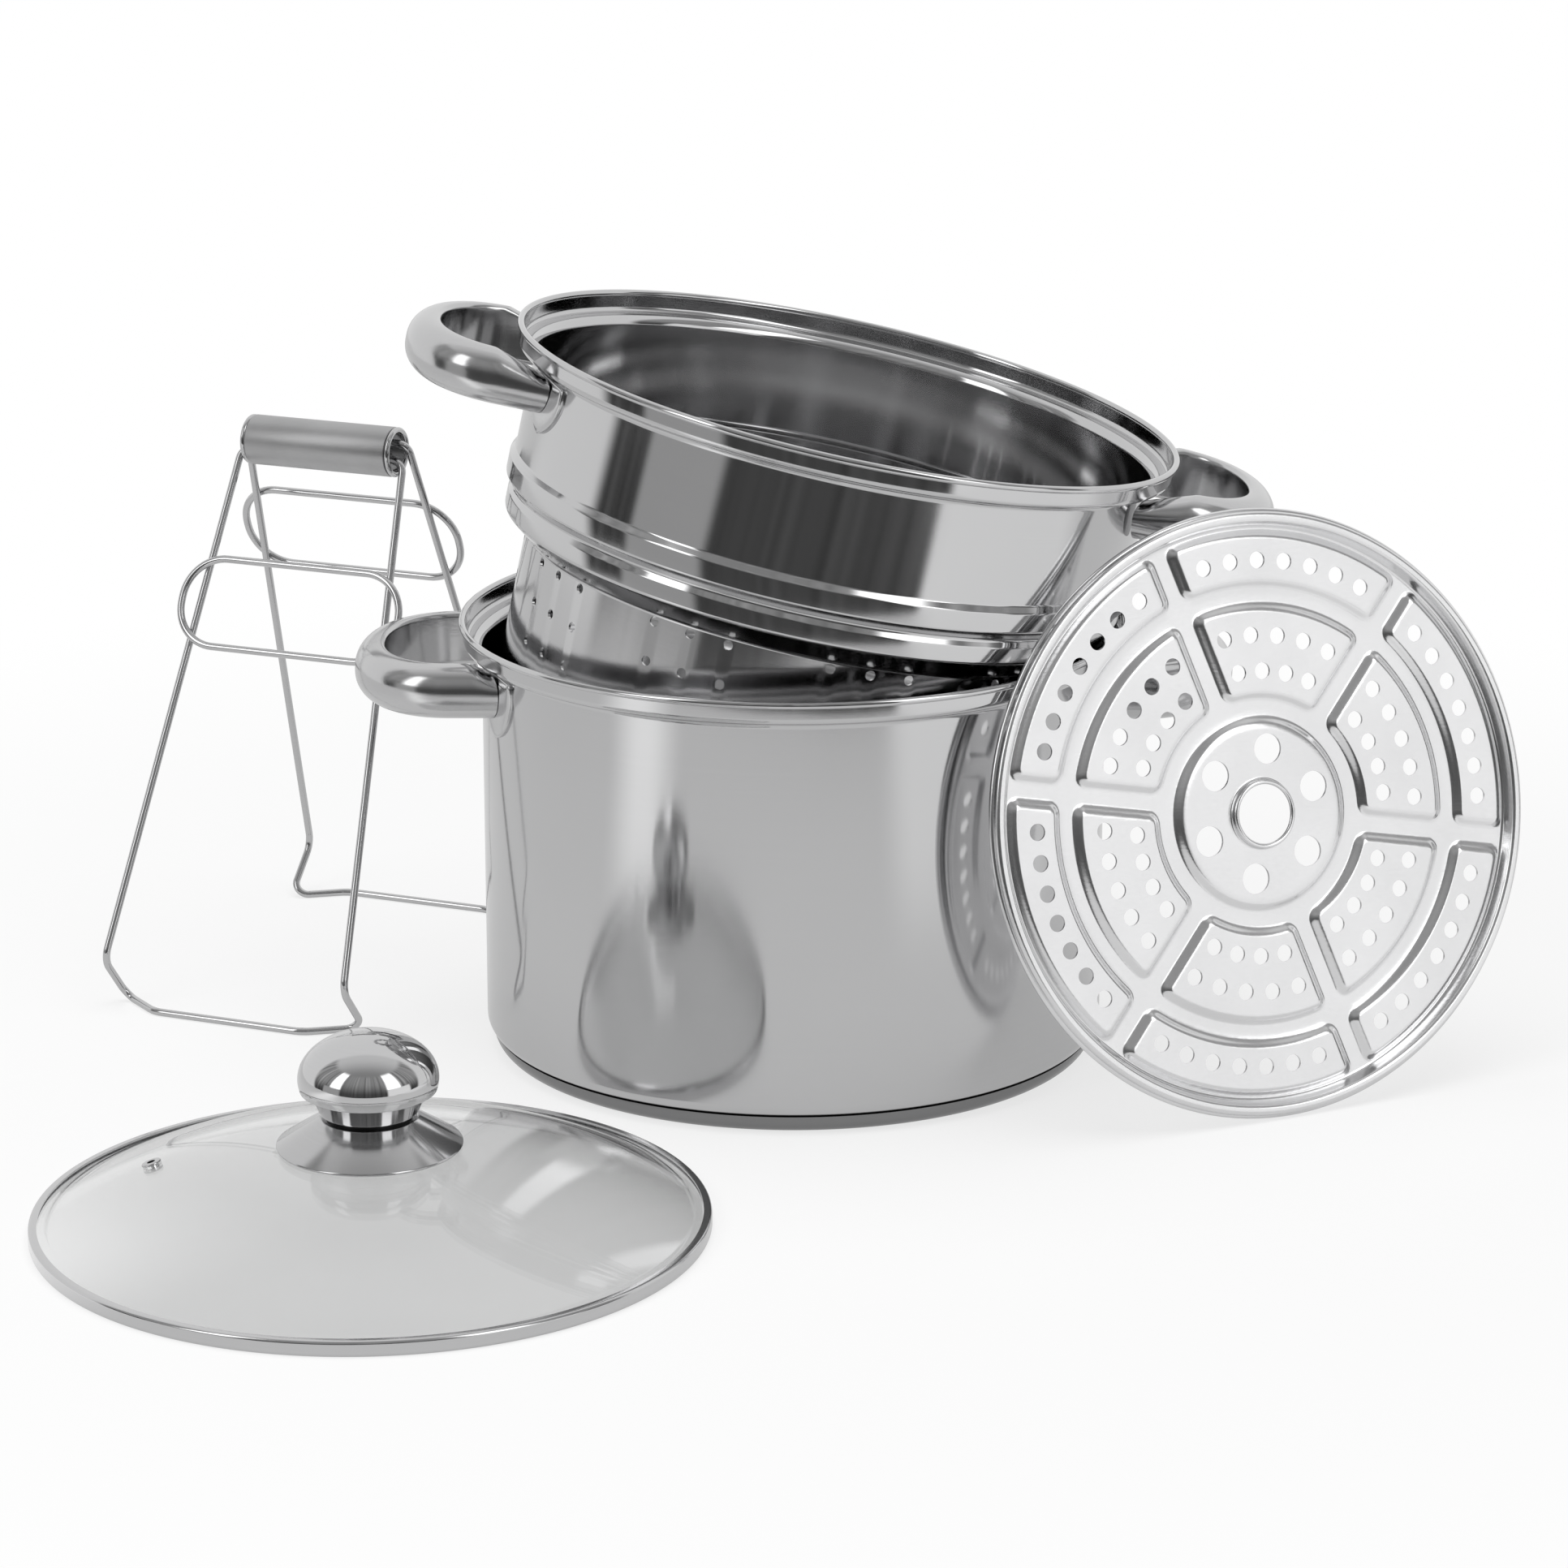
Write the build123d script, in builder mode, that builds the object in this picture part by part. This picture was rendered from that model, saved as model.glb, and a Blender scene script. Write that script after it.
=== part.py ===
from build123d import *
import os
from math import acos, asin, atan2, cos, degrees, hypot, radians, sin, sqrt

os.makedirs("parts", exist_ok=True)

# A stainless pasta pot set as it stands in the photograph: the pot, its strainer
# insert set down askew in it, the glass lid on the table, the steamer plate leaning
# on the pot's rim, and the wire tongs. Millimetres, +Z up, origin under the pot.

# Sheet metal and clearances shared by the set
sheet = 1.0
fit_gap = 0.1
overrun = 5.0

# Pot
body_radius = 120.0
pot_height = 170.0
pot_corner = 5.0
floor_height = 6.9
collar_radius = 127.4
collar_height = 9.5
collar_bend = 3.0
rim_bead = 1.35
cap_radius = 117.6
cap_height = 7.0
cap_corner = 6.5
cap_sheet = 0.8
core_radius = 111.0

# Loop handles, alike on the pot and on the insert
handle_reach = 163.0
handle_half_width = 43.0
handle_corner = 28.0
handle_thick = 12.0
handle_tall = 21.0
handle_bulge = 9.6
handle_edge = 2.0
pot_handle_drop = 20.0
insert_handle_drop = 16.5
bracket_sheet = 1.6
bracket_half_width = 16.0
bracket_side = 2.0
bracket_tip = 17.5
bracket_belly = 3.2
bracket_corner = 2.5

# Strainer insert
insert_tilt = 12.1
insert_x = 21.6
insert_y = 4.0
insert_z = 259.3
insert_depth = 136.0
strainer_radius = 109.8
strainer_corner = 10.0
step_top = 71.5
step_bottom = 79.5
step_bend = 2.2
bead_radius = 121.8
bead_top = 51.0
bead_bottom = 58.5
bead_run = 2.4
bead_bend = 1.6
groove_radius = 118.4
groove_depth = 62.2
ridge_radius = 119.8
ridge_top = 65.0
wall_hole = 3.8
hole_groups = 10
holes_across = 3
hole_rows = 3
first_row_depth = 82.6
hole_pitch = 15.2
hole_start_angle = 31.0
drain_hole = 6.0
drain_rings = 3
drain_pitch = 27.0
drain_first_ring = 6

# Glass lid, lying on the table in front
lid_x = -149.0
lid_y = -212.0
lid_radius = 121.0
band_sheet = 0.8
band_bend = 1.3
band_lip = 6.0
glass = 4.0
flange_width = 7.0
pane_round = 1.0
dome_height = 33.0
knob_radius = 25.0
knob_rise = 16.9
knob_centre = 56.0
knob_steps = 8
knob_neck_radius = 15.0
knob_neck = 1.4
knob_foot_radius = 17.2
knob_foot = 7.0
knob_ring_radius = 21.2
knob_lip_radius = 22.2
knob_lip = 1.4
escutcheon_radius = 33.4
escutcheon_top = 42.0
escutcheon_neck = 17.4
escutcheon_sheet = 1.2
escutcheon_bend = 1.5
screw_radius = 2.5
screw_head = 6.0
screw_head_height = 3.0
screw_length = 26.0
screw_slot = 1.2
washer_radius = 9.0
washer_height = 1.2
vent_offset = 79.0
vent_angle = 174.0
vent_radius = 3.6
vent_tube = 2.4
vent_bore = 1.5
vent_lip = 0.8

# Steamer plate
plate_x = 177.0
plate_y = -74.3
plate_turn = 26.0
plate_lean = 13.5
plate_roll = -12.0
plate_radius = 114.5
plate_skirt = 5.0
plate_bead = 1.3
plate_bend = 1.6
plate_fold = 0.8
rim_land = 5.0
web_depth = 5.0
plateau_rise = 2.0
plateau_slope = 3.6
segment_count = 6
rib_half_width = 2.8
segment_corner = 5.0
outer_segment = (84.5, 107.0)
inner_segment = (42.5, 79.5)
boss_radius = 37.0
steam_hole_rows = ((95.0, 7, 7.0), (67.0, 5, 9.8), (53.5, 4, 11.0))
steam_hole = 6.4
boss_hole = 11.5
boss_hole_ring = 24.5
centre_hole = 24.0
centre_collar = 2.0

# Wire tongs
tongs_x = -188.0
tongs_y = 95.0
tongs_turn = -22.0
tube_radius = 10.0
tube_length = 62.0
tube_wall = 0.8
cap_recess = 2.4
cap_roll = 1.1
wire = 3.0
pivot_gap = 0.06
pivot_offset = 3.8
pivot_angle = 58.0
back_spread = 21.5
leg_half_top = 36.0
leg_half_bend = 45.0
leg_half_foot = 53.0
bend_reach = 112.0
knee_reach = 213.0
foot_reach = 223.0
foot_hook = 24.2
toe_half = 33.0
toe_bow = 14.0
wire_bends = (5.0, 60.0, 8.0, 5.0, 12.0)
wire_joint = 0.5
weld_gap = 0.05
ring_half_length = 48.0
ring_half_height = 18.0
ring_end_radius = 17.0
front_ring_reach = 65.0
back_ring_reach = 49.0


def save(piece, name):
    """Label a finished sub-part and write it as one STEP file."""
    piece.part.label = name
    export_step(piece.part, f"parts/{name}.step")


def turned(frame, angle):
    """The same plane turned about its own normal."""
    x_dir = frame.x_dir * cos(radians(angle)) + frame.y_dir * sin(radians(angle))
    return Plane(origin=frame.origin, x_dir=x_dir, z_dir=frame.z_dir)


def profile_plane(frame):
    """The plane through a frame's own axis: x outward, y along the axis."""
    return Plane(origin=frame.origin, x_dir=frame.x_dir, z_dir=-frame.y_dir)


def outward_plane(frame, angle, reach):
    """A plane that looks out from a frame's axis at an angle, y along the axis."""
    outward = turned(frame, angle)
    return Plane(
        origin=frame.origin + outward.x_dir * reach,
        x_dir=outward.y_dir,
        z_dir=outward.x_dir,
    )


# Pot body: a drawn cup with a stepped collar and a rolled rim
ledge_height = pot_height - collar_height
bead_height = pot_height - rim_bead
with BuildPart() as pot_body:
    with BuildSketch(Plane.XZ) as pot_profile:
        with BuildLine():
            FilletPolyline(
                (0, floor_height),
                (body_radius, floor_height),
                (body_radius, ledge_height),
                (collar_radius, ledge_height),
                (collar_radius, bead_height),
                radius=[pot_corner, collar_bend, collar_bend],
            )
            offset(amount=sheet, side=Side.LEFT)
        make_face()
    revolve(axis=Axis.Z)
    with BuildSketch(Plane.XZ) as pot_rim:
        with Locations((collar_radius, bead_height)):
            Circle(rim_bead)
    revolve(axis=Axis.Z)
save(pot_body, "pot_body")

# Capsule base: an aluminium core under the floor, closed in by a steel cap
with BuildPart() as pot_core:
    with BuildSketch(Plane.XY.offset(cap_sheet)):
        Circle(core_radius)
    extrude(amount=floor_height - cap_sheet)
save(pot_core, "pot_base_core")

with BuildPart() as pot_cap:
    with BuildSketch(Plane.XZ):
        with BuildLine():
            FilletPolyline((0, 0), (cap_radius, 0), (cap_radius, cap_height), radius=cap_corner)
            offset(amount=cap_sheet, side=Side.LEFT)
        make_face()
    revolve(axis=Axis.Z)
save(pot_cap, "pot_base_cap")


def loop_handle(frame, drop, name):
    """A loop, bulging outside and flat inside, whose ends are cut to pass under the collar."""
    collar_low = drop - collar_height
    near = Vector(body_radius, collar_low - collar_bend - fit_gap)
    under = Vector(collar_radius + rim_bead, collar_low - fit_gap)
    far = under + (under - near) * 2
    with BuildPart() as handle:
        with BuildLine(frame) as loop:
            FilletPolyline(
                (body_radius - handle_thick, -handle_half_width),
                (handle_reach, -handle_half_width),
                (handle_reach, handle_half_width),
                (body_radius - handle_thick, handle_half_width),
                radius=handle_corner,
            )
        with BuildSketch(Plane(origin=loop.line @ 0, x_dir=frame.y_dir, z_dir=loop.line % 0)) as section:
            Rectangle(handle_thick, handle_tall)
            fillet(section.vertices().group_by(Axis.X)[0], handle_bulge)
            fillet(section.vertices().group_by(Axis.X)[-1], handle_edge)
        sweep()
        with BuildSketch(frame):
            Circle(body_radius + bracket_sheet)
        extrude(amount=handle_tall, both=True, mode=Mode.SUBTRACT)
        with BuildSketch(profile_plane(frame)):
            with BuildLine():
                Polyline(near, far, (near.X, far.Y), close=True)
            make_face()
        revolve(axis=Axis(frame.origin, frame.z_dir), mode=Mode.SUBTRACT)
    save(handle, name)


def leaf_brackets(frame, drop, name):
    """The two leaf plates, bent to the wall, that carry a handle's ends."""
    spread = degrees(asin(handle_half_width / body_radius))
    top = drop - collar_height - collar_bend - fit_gap
    with BuildPart() as brackets:
        for angle in (-spread, spread):
            with BuildSketch(outward_plane(frame, angle, body_radius - overrun)) as leaf:
                with BuildLine():
                    Polyline(
                        (bracket_half_width, -bracket_side),
                        (bracket_half_width, top),
                        (-bracket_half_width, top),
                        (-bracket_half_width, -bracket_side),
                    )
                    SagittaArc((-bracket_half_width, -bracket_side), (0, -bracket_tip), -bracket_belly)
                    SagittaArc((0, -bracket_tip), (bracket_half_width, -bracket_side), -bracket_belly)
                make_face()
                fillet(leaf.vertices().group_by(Axis.Y)[-1], bracket_corner)
            extrude(amount=2 * overrun)
        with BuildSketch(frame):
            Circle(body_radius + bracket_sheet)
            Circle(body_radius, mode=Mode.SUBTRACT)
        extrude(amount=handle_tall, both=True, mode=Mode.INTERSECT)
    save(brackets, name)


for side, angle in (("right", 0), ("left", 180)):
    handle_frame = turned(Plane.XY.offset(pot_height - pot_handle_drop), angle)
    loop_handle(handle_frame, pot_handle_drop, f"pot_handle_{side}")
    leaf_brackets(handle_frame, pot_handle_drop, f"pot_brackets_{side}")

# Strainer insert: the same collar and rim over a beaded wall and a narrower strainer
tilt = radians(insert_tilt)
insert_frame = Plane(
    origin=(insert_x, insert_y, insert_z),
    x_dir=(cos(tilt), 0, -sin(tilt)),
    z_dir=(sin(tilt), 0, cos(tilt)),
)
insert_axis = Axis(insert_frame.origin, insert_frame.z_dir)
with BuildPart() as insert_body:
    with BuildSketch(profile_plane(insert_frame)):
        with BuildLine():
            FilletPolyline(
                (0, -insert_depth),
                (strainer_radius, -insert_depth),
                (strainer_radius, -step_bottom),
                (ridge_radius, -step_top),
                (ridge_radius, -ridge_top),
                (groove_radius, -groove_depth),
                (bead_radius, -bead_bottom),
                (bead_radius, -bead_top),
                (body_radius, -(bead_top - bead_run)),
                (body_radius, -collar_height),
                (collar_radius, -collar_height),
                (collar_radius, -rim_bead),
                radius=[
                    strainer_corner,
                    step_bend,
                    step_bend,
                    bead_bend,
                    bead_bend,
                    bead_bend,
                    bead_bend,
                    bead_bend,
                    collar_bend,
                    collar_bend,
                ],
            )
            offset(amount=sheet, side=Side.LEFT)
        make_face()
    revolve(axis=insert_axis)
    with BuildSketch(profile_plane(insert_frame)):
        with Locations((collar_radius, -rim_bead)):
            Circle(rim_bead)
    revolve(axis=insert_axis)
    column_angle = degrees(hole_pitch / strainer_radius)
    for group in range(hole_groups):
        for column in range(holes_across):
            middle = hole_start_angle + group * 360 / hole_groups
            angle = middle + (column - (holes_across - 1) / 2) * column_angle
            with BuildSketch(outward_plane(insert_frame, angle, strainer_radius - overrun)):
                with Locations(*[(0, -first_row_depth - row * hole_pitch) for row in range(hole_rows)]):
                    Circle(wall_hole / 2)
    extrude(amount=2 * overrun, mode=Mode.SUBTRACT)
    with BuildSketch(insert_frame.offset(-insert_depth - overrun)):
        Circle(drain_hole / 2)
        for ring in range(1, drain_rings + 1):
            with PolarLocations(ring * drain_pitch, ring * drain_first_ring):
                Circle(drain_hole / 2)
    extrude(amount=2 * overrun, mode=Mode.SUBTRACT)
save(insert_body, "insert_body")

for side, angle in (("right", 0), ("left", 180)):
    handle_frame = turned(insert_frame.offset(-insert_handle_drop), angle)
    loop_handle(handle_frame, insert_handle_drop, f"insert_handle_{side}")
    leaf_brackets(handle_frame, insert_handle_drop, f"insert_brackets_{side}")

# Glass lid: a domed pane with a flat edge held in a steel channel
lid_frame = Plane((lid_x, lid_y, 0))
lid_axis = Axis(lid_frame.origin, lid_frame.z_dir)
pane_edge = lid_radius - band_sheet - fit_gap
pane_low = band_sheet + fit_gap
band_height = pane_low + glass + fit_gap + band_sheet
dome_edge = pane_edge - flange_width
dome_low = dome_height - glass
dome_rise = dome_low - pane_low
dome_radius = (dome_edge**2 + dome_rise**2) / (2 * dome_rise)
dome_centre = dome_low - dome_radius
shell_radius = dome_radius + glass
shell_edge = sqrt(shell_radius**2 - (pane_low + glass - dome_centre) ** 2)
vent_frame_angle = asin(vent_offset / shell_radius)


def dome_top(radius):
    """Height of the pane's upper face at a distance from the lid's axis."""
    return dome_centre + sqrt(shell_radius**2 - radius**2)


vent_out = Vector(1, 0, 0).rotate(Axis.Z, vent_angle)
vent_normal = vent_out * sin(vent_frame_angle) + Vector(0, 0, 1) * cos(vent_frame_angle)
vent_frame = Plane(
    origin=lid_frame.origin + Vector(0, 0, dome_centre) + vent_normal * shell_radius,
    x_dir=vent_out.cross(vent_normal),
    z_dir=vent_normal,
)
with BuildPart() as lid_glass:
    with BuildSketch(profile_plane(lid_frame)):
        with BuildLine():
            under = CenterArc((0, dome_centre), dome_radius, 90, -degrees(asin(dome_edge / dome_radius)))
            over = CenterArc((0, dome_centre), shell_radius, 90, -degrees(asin(shell_edge / shell_radius)))
            FilletPolyline(
                under @ 1,
                (pane_edge, pane_low),
                (pane_edge, pane_low + glass),
                over @ 1,
                radius=pane_round,
            )
            Line(under @ 0, over @ 0)
        make_face()
    revolve(axis=lid_axis)
    with BuildSketch(lid_frame):
        Circle(screw_radius + fit_gap)
    extrude(amount=dome_height + overrun, mode=Mode.SUBTRACT)
    with BuildSketch(vent_frame):
        Circle(vent_tube + fit_gap)
    extrude(amount=glass + overrun, both=True, mode=Mode.SUBTRACT)
save(lid_glass, "lid_glass")

with BuildPart() as lid_band:
    with BuildSketch(profile_plane(lid_frame)):
        with BuildLine():
            FilletPolyline(
                (lid_radius - band_lip, 0),
                (lid_radius, 0),
                (lid_radius, band_height),
                (lid_radius - band_lip, band_height),
                radius=band_bend,
            )
            offset(amount=band_sheet, side=Side.LEFT)
        make_face()
    revolve(axis=lid_axis)
save(lid_band, "lid_rim_band")

with BuildPart() as escutcheon:
    with BuildSketch(profile_plane(lid_frame)):
        with BuildLine():
            FilletPolyline(
                (screw_radius + fit_gap, escutcheon_top),
                (escutcheon_neck, escutcheon_top),
                (escutcheon_radius, dome_top(escutcheon_radius) + escutcheon_sheet + fit_gap),
                radius=escutcheon_bend,
            )
            offset(amount=escutcheon_sheet, side=Side.RIGHT)
        make_face()
    revolve(axis=lid_axis)
save(escutcheon, "lid_escutcheon")

# Knob: an oblate ball on a ringed, tapering foot, tapped for the screw from below
neck_top = escutcheon_top + knob_neck
foot_top = neck_top + knob_foot
lip_top = foot_top + knob_lip
washer_top = dome_low - washer_radius**2 / dome_radius
screw_seat = washer_top - washer_height
knob_low = degrees(asin((lip_top - knob_centre) / knob_rise))
knob_start = (-knob_radius * sin(radians(knob_low)), knob_rise * cos(radians(knob_low)))


def knob_point(angle):
    """A point of the knob's oval outline at an angle above its widest height."""
    return (knob_radius * cos(radians(angle)), knob_centre + knob_rise * sin(radians(angle)))


with BuildPart() as knob:
    with BuildSketch(profile_plane(lid_frame)):
        with BuildLine():
            ball = Spline(
                *[knob_point(knob_low + (90 - knob_low) * i / knob_steps) for i in range(knob_steps)],
                (0, knob_centre + knob_rise),
                tangents=[knob_start, (-1, 0)],
            )
            Polyline(
                ball @ 0,
                (knob_lip_radius, lip_top),
                (knob_lip_radius, foot_top),
                (knob_ring_radius, foot_top),
                (knob_foot_radius, neck_top),
                (knob_neck_radius, neck_top),
                (knob_neck_radius, escutcheon_top),
                (0, escutcheon_top),
                ball @ 1,
            )
        make_face()
    revolve(axis=lid_axis)
    with BuildSketch(lid_frame):
        Circle(screw_radius + fit_gap)
    extrude(amount=screw_seat + screw_length + fit_gap, mode=Mode.SUBTRACT)
save(knob, "lid_knob")

with BuildPart() as screw:
    with BuildSketch(lid_frame.offset(screw_seat)):
        Circle(screw_head)
    extrude(amount=-screw_head_height)
    with BuildSketch(lid_frame.offset(screw_seat - screw_head_height)):
        Rectangle(2 * screw_head, screw_slot)
    extrude(amount=screw_slot, mode=Mode.SUBTRACT)
    with BuildSketch(lid_frame.offset(screw_seat)):
        Circle(screw_radius)
    extrude(amount=screw_length)
save(screw, "lid_screw")

with BuildPart() as washer:
    with BuildSketch(lid_frame.offset(screw_seat)):
        Circle(washer_radius)
        Circle(screw_radius + fit_gap, mode=Mode.SUBTRACT)
    extrude(amount=washer_height)
save(washer, "lid_washer")

with BuildPart() as vent:
    with BuildSketch(vent_frame.offset(fit_gap)):
        Circle(vent_radius)
    extrude(amount=vent_lip)
    with BuildSketch(vent_frame.offset(-glass - fit_gap)):
        Circle(vent_radius)
    extrude(amount=-vent_lip)
    with BuildSketch(vent_frame.offset(fit_gap)):
        Circle(vent_tube)
    extrude(amount=-glass - 2 * fit_gap)
    with BuildSketch(vent_frame.offset(overrun)):
        Circle(vent_bore)
    extrude(amount=-glass - 2 * overrun, mode=Mode.SUBTRACT)
save(vent, "lid_vent_eyelet")

# Steamer plate: pressed from one sheet, its perforated fields standing proud of the webs
turn, lean = radians(plate_turn), radians(plate_lean)
plate_face = Vector(sin(turn) * cos(lean), -cos(turn) * cos(lean), sin(lean))
skirt_radius = plate_radius - plate_bead
skirt_height = plate_bead - plate_skirt
plate_stance = Plane(
    origin=(plate_x, plate_y, skirt_radius * cos(lean) - skirt_height * sin(lean) + plate_bead),
    x_dir=(cos(turn), sin(turn), 0),
    z_dir=plate_face,
)
plate_frame = turned(plate_stance, plate_roll)
plate_axis = Axis(plate_frame.origin, plate_frame.z_dir)
land_radius = plate_radius - rim_land
slope_angle = degrees(atan2(plateau_slope, plateau_rise))
web_height = -web_depth
boss_height = web_height + plateau_rise
collar_outside = centre_hole / 2 + sheet
field_step = 360 / segment_count


with BuildPart() as plate:
    with BuildSketch(profile_plane(plate_frame)):
        with BuildLine():
            FilletPolyline(
                (collar_outside, boss_height + centre_collar),
                (collar_outside, boss_height),
                (boss_radius - plateau_slope, boss_height),
                (boss_radius, web_height),
                (land_radius - plateau_rise, web_height),
                (land_radius, 0),
                (skirt_radius, 0),
                (skirt_radius, skirt_height),
                radius=[plate_fold, plate_fold, plate_fold, plate_bend, plate_bend, plate_bend],
            )
            offset(amount=sheet, side=Side.RIGHT)
        make_face()
    revolve(axis=plate_axis)
    with BuildSketch(profile_plane(plate_frame)):
        with Locations((skirt_radius, skirt_height)):
            Circle(plate_bead)
    revolve(axis=plate_axis)
    for level, mode in ((web_height, Mode.ADD), (web_height - sheet, Mode.SUBTRACT)):
        with BuildSketch(plate_frame.offset(level)):
            for inner, outer in (outer_segment, inner_segment):
                with BuildSketch(mode=Mode.PRIVATE) as band:
                    Circle(outer)
                    Circle(inner, mode=Mode.SUBTRACT)
                    with PolarLocations(0, segment_count):
                        Rectangle(
                            outer + overrun,
                            2 * rib_half_width,
                            align=(Align.MIN, Align.CENTER),
                            mode=Mode.SUBTRACT,
                        )
                    fillet(band.vertices(), segment_corner)
                add(band.sketch)
        extrude(amount=plateau_rise, taper=slope_angle, mode=mode)
    with BuildSketch(plate_frame.offset(-plate_skirt - overrun)):
        for ring, count, step in steam_hole_rows:
            for field in range(segment_count):
                first = (field + 1 / 2) * field_step - step * (count - 1) / 2
                with PolarLocations(ring, count, first, step * count, endpoint=False):
                    Circle(steam_hole / 2)
        with PolarLocations(boss_hole_ring, segment_count, field_step / 2):
            Circle(boss_hole / 2)
    extrude(amount=plate_skirt + 2 * overrun, mode=Mode.SUBTRACT)
save(plate, "steamer_plate")

# Wire tongs: two wire frames that swing in a tube handle, each with a finger ring
pivot = radians(pivot_angle)
pivot_reach, pivot_lift = pivot_offset * cos(pivot), pivot_offset * sin(pivot)
foot_length = hypot(foot_reach, foot_hook)
foot_angle = atan2(foot_hook, foot_reach)
back_fall = foot_length * cos(radians(back_spread) - foot_angle)
tongs_height = back_fall + wire / 2 - pivot_lift
front_fall = tongs_height - pivot_lift - wire / 2
front_spread = degrees(foot_angle + acos(front_fall / foot_length))
tongs_frame = turned(Plane((tongs_x, tongs_y, tongs_height)), tongs_turn)
tube_inside = tube_radius - tube_wall
cap_inside = tube_inside - tube_wall


def across(frame):
    """The plane across the handle at its middle, x along the tube's radius."""
    return Plane(origin=frame.origin, x_dir=frame.y_dir, z_dir=frame.x_dir)


def shifted(frame, x, y, z):
    """The same plane moved by a step in its own directions."""
    return Plane(origin=frame.from_local_coords((x, y, z)), x_dir=frame.x_dir, z_dir=frame.z_dir)


with BuildPart() as tube:
    with BuildSketch(across(tongs_frame)):
        Circle(tube_radius)
        Circle(tube_inside, mode=Mode.SUBTRACT)
    extrude(amount=tube_length / 2, both=True)
save(tube, "tongs_tube")

for side, half_turn in (("right", 0), ("left", 180)):
    cap_frame = shifted(turned(tongs_frame, half_turn), tube_length / 2, 0, 0)
    cap_plane = across(cap_frame)
    with BuildPart() as cap:
        with BuildSketch(cap_plane.offset(-cap_recess)):
            Circle(tube_inside)
        extrude(amount=-tube_wall)
        with BuildSketch(cap_plane.offset(-cap_recess)):
            Circle(tube_inside)
            Circle(cap_inside, mode=Mode.SUBTRACT)
        extrude(amount=cap_recess + cap_roll)
        with BuildSketch(Plane(origin=cap_plane.origin, x_dir=cap_plane.x_dir, z_dir=-cap_plane.y_dir)):
            with Locations((tube_radius - cap_roll, cap_roll)):
                Circle(cap_roll)
        revolve(axis=Axis(cap_plane.origin, cap_plane.z_dir))
        with BuildSketch(Plane(origin=cap_plane.origin, x_dir=tongs_frame.y_dir, z_dir=tongs_frame.x_dir)):
            with Locations((-pivot_reach, -pivot_lift), (pivot_reach, pivot_lift)):
                Circle(wire / 2 + pivot_gap)
        extrude(amount=tube_length / 2, both=True, mode=Mode.SUBTRACT)
    save(cap, f"tongs_cap_{side}")

for side, half_turn, lift, spread, ring_reach in (
    ("front", 0, -pivot_lift, front_spread, front_ring_reach),
    ("back", 180, pivot_lift, back_spread, back_ring_reach),
):
    side_frame = shifted(turned(tongs_frame, half_turn), 0, -pivot_reach, lift)
    swing = radians(spread)
    down_leg = -side_frame.z_dir * cos(swing) - side_frame.y_dir * sin(swing)
    leg_plane = Plane(
        origin=side_frame.origin,
        x_dir=side_frame.x_dir,
        z_dir=side_frame.x_dir.cross(down_leg),
    )
    bow_reach = foot_reach + toe_bow * sin(swing)
    bow_hook = foot_hook - toe_bow * cos(swing)
    with BuildPart() as frame_wire:
        with BuildLine(leg_plane) as bent:
            FilletPolyline(
                (wire_joint / 2, 0, 0),
                (leg_half_top, 0, 0),
                (leg_half_bend, bend_reach, 0),
                (leg_half_foot, knee_reach, 0),
                (leg_half_foot, foot_reach, foot_hook),
                (toe_half, bow_reach, bow_hook),
                (-toe_half, bow_reach, bow_hook),
                (-leg_half_foot, foot_reach, foot_hook),
                (-leg_half_foot, knee_reach, 0),
                (-leg_half_bend, bend_reach, 0),
                (-leg_half_top, 0, 0),
                (-wire_joint / 2, 0, 0),
                radius=[*wire_bends, *reversed(wire_bends)],
            )
        with BuildSketch(Plane(origin=bent.line @ 0, z_dir=bent.line % 0)):
            Circle(wire / 2)
        sweep()
    save(frame_wire, f"tongs_frame_{side}")
    with BuildPart() as ring_wire:
        with BuildLine(shifted(leg_plane, 0, ring_reach, -wire - weld_gap)) as loop:
            FilletPolyline(
                (-ring_half_length, -ring_half_height),
                (ring_half_length, -ring_half_height),
                (ring_half_length, ring_half_height),
                (-ring_half_length, ring_half_height),
                close=True,
                radius=ring_end_radius,
            )
        with BuildSketch(Plane(origin=loop.line @ 0, z_dir=loop.line % 0)):
            Circle(wire / 2)
        sweep()
    save(ring_wire, f"tongs_ring_{side}")
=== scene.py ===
import bmesh
import bpy
from math import acos, asin, atan2, cos, degrees, hypot, pi, radians, sin, sqrt, tan
from mathutils import Matrix, Vector


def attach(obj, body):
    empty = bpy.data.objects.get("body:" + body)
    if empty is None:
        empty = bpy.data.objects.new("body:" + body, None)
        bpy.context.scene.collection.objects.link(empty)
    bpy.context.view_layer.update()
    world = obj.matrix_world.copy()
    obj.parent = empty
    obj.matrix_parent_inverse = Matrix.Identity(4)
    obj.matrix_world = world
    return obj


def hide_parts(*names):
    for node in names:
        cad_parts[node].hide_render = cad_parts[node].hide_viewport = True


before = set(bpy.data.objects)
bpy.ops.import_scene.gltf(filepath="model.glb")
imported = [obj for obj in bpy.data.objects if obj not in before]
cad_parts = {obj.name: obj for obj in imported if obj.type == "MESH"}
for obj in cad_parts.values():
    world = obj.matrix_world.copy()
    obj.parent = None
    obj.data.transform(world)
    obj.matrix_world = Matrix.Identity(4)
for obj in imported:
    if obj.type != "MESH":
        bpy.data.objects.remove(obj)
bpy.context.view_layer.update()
mm = 0.001
closeBy = 1e-7  # metres between two points that are the same


def placed(name, data):
    made = bpy.data.objects.new(name, data)
    bpy.context.scene.collection.objects.link(made)
    return made


def shifted(x, y, z):
    return Matrix.Translation(Vector((x, y, z)) * mm)


def polar(radius, angle, height):
    return shifted(radius * cos(angle), radius * sin(angle), height)


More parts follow.
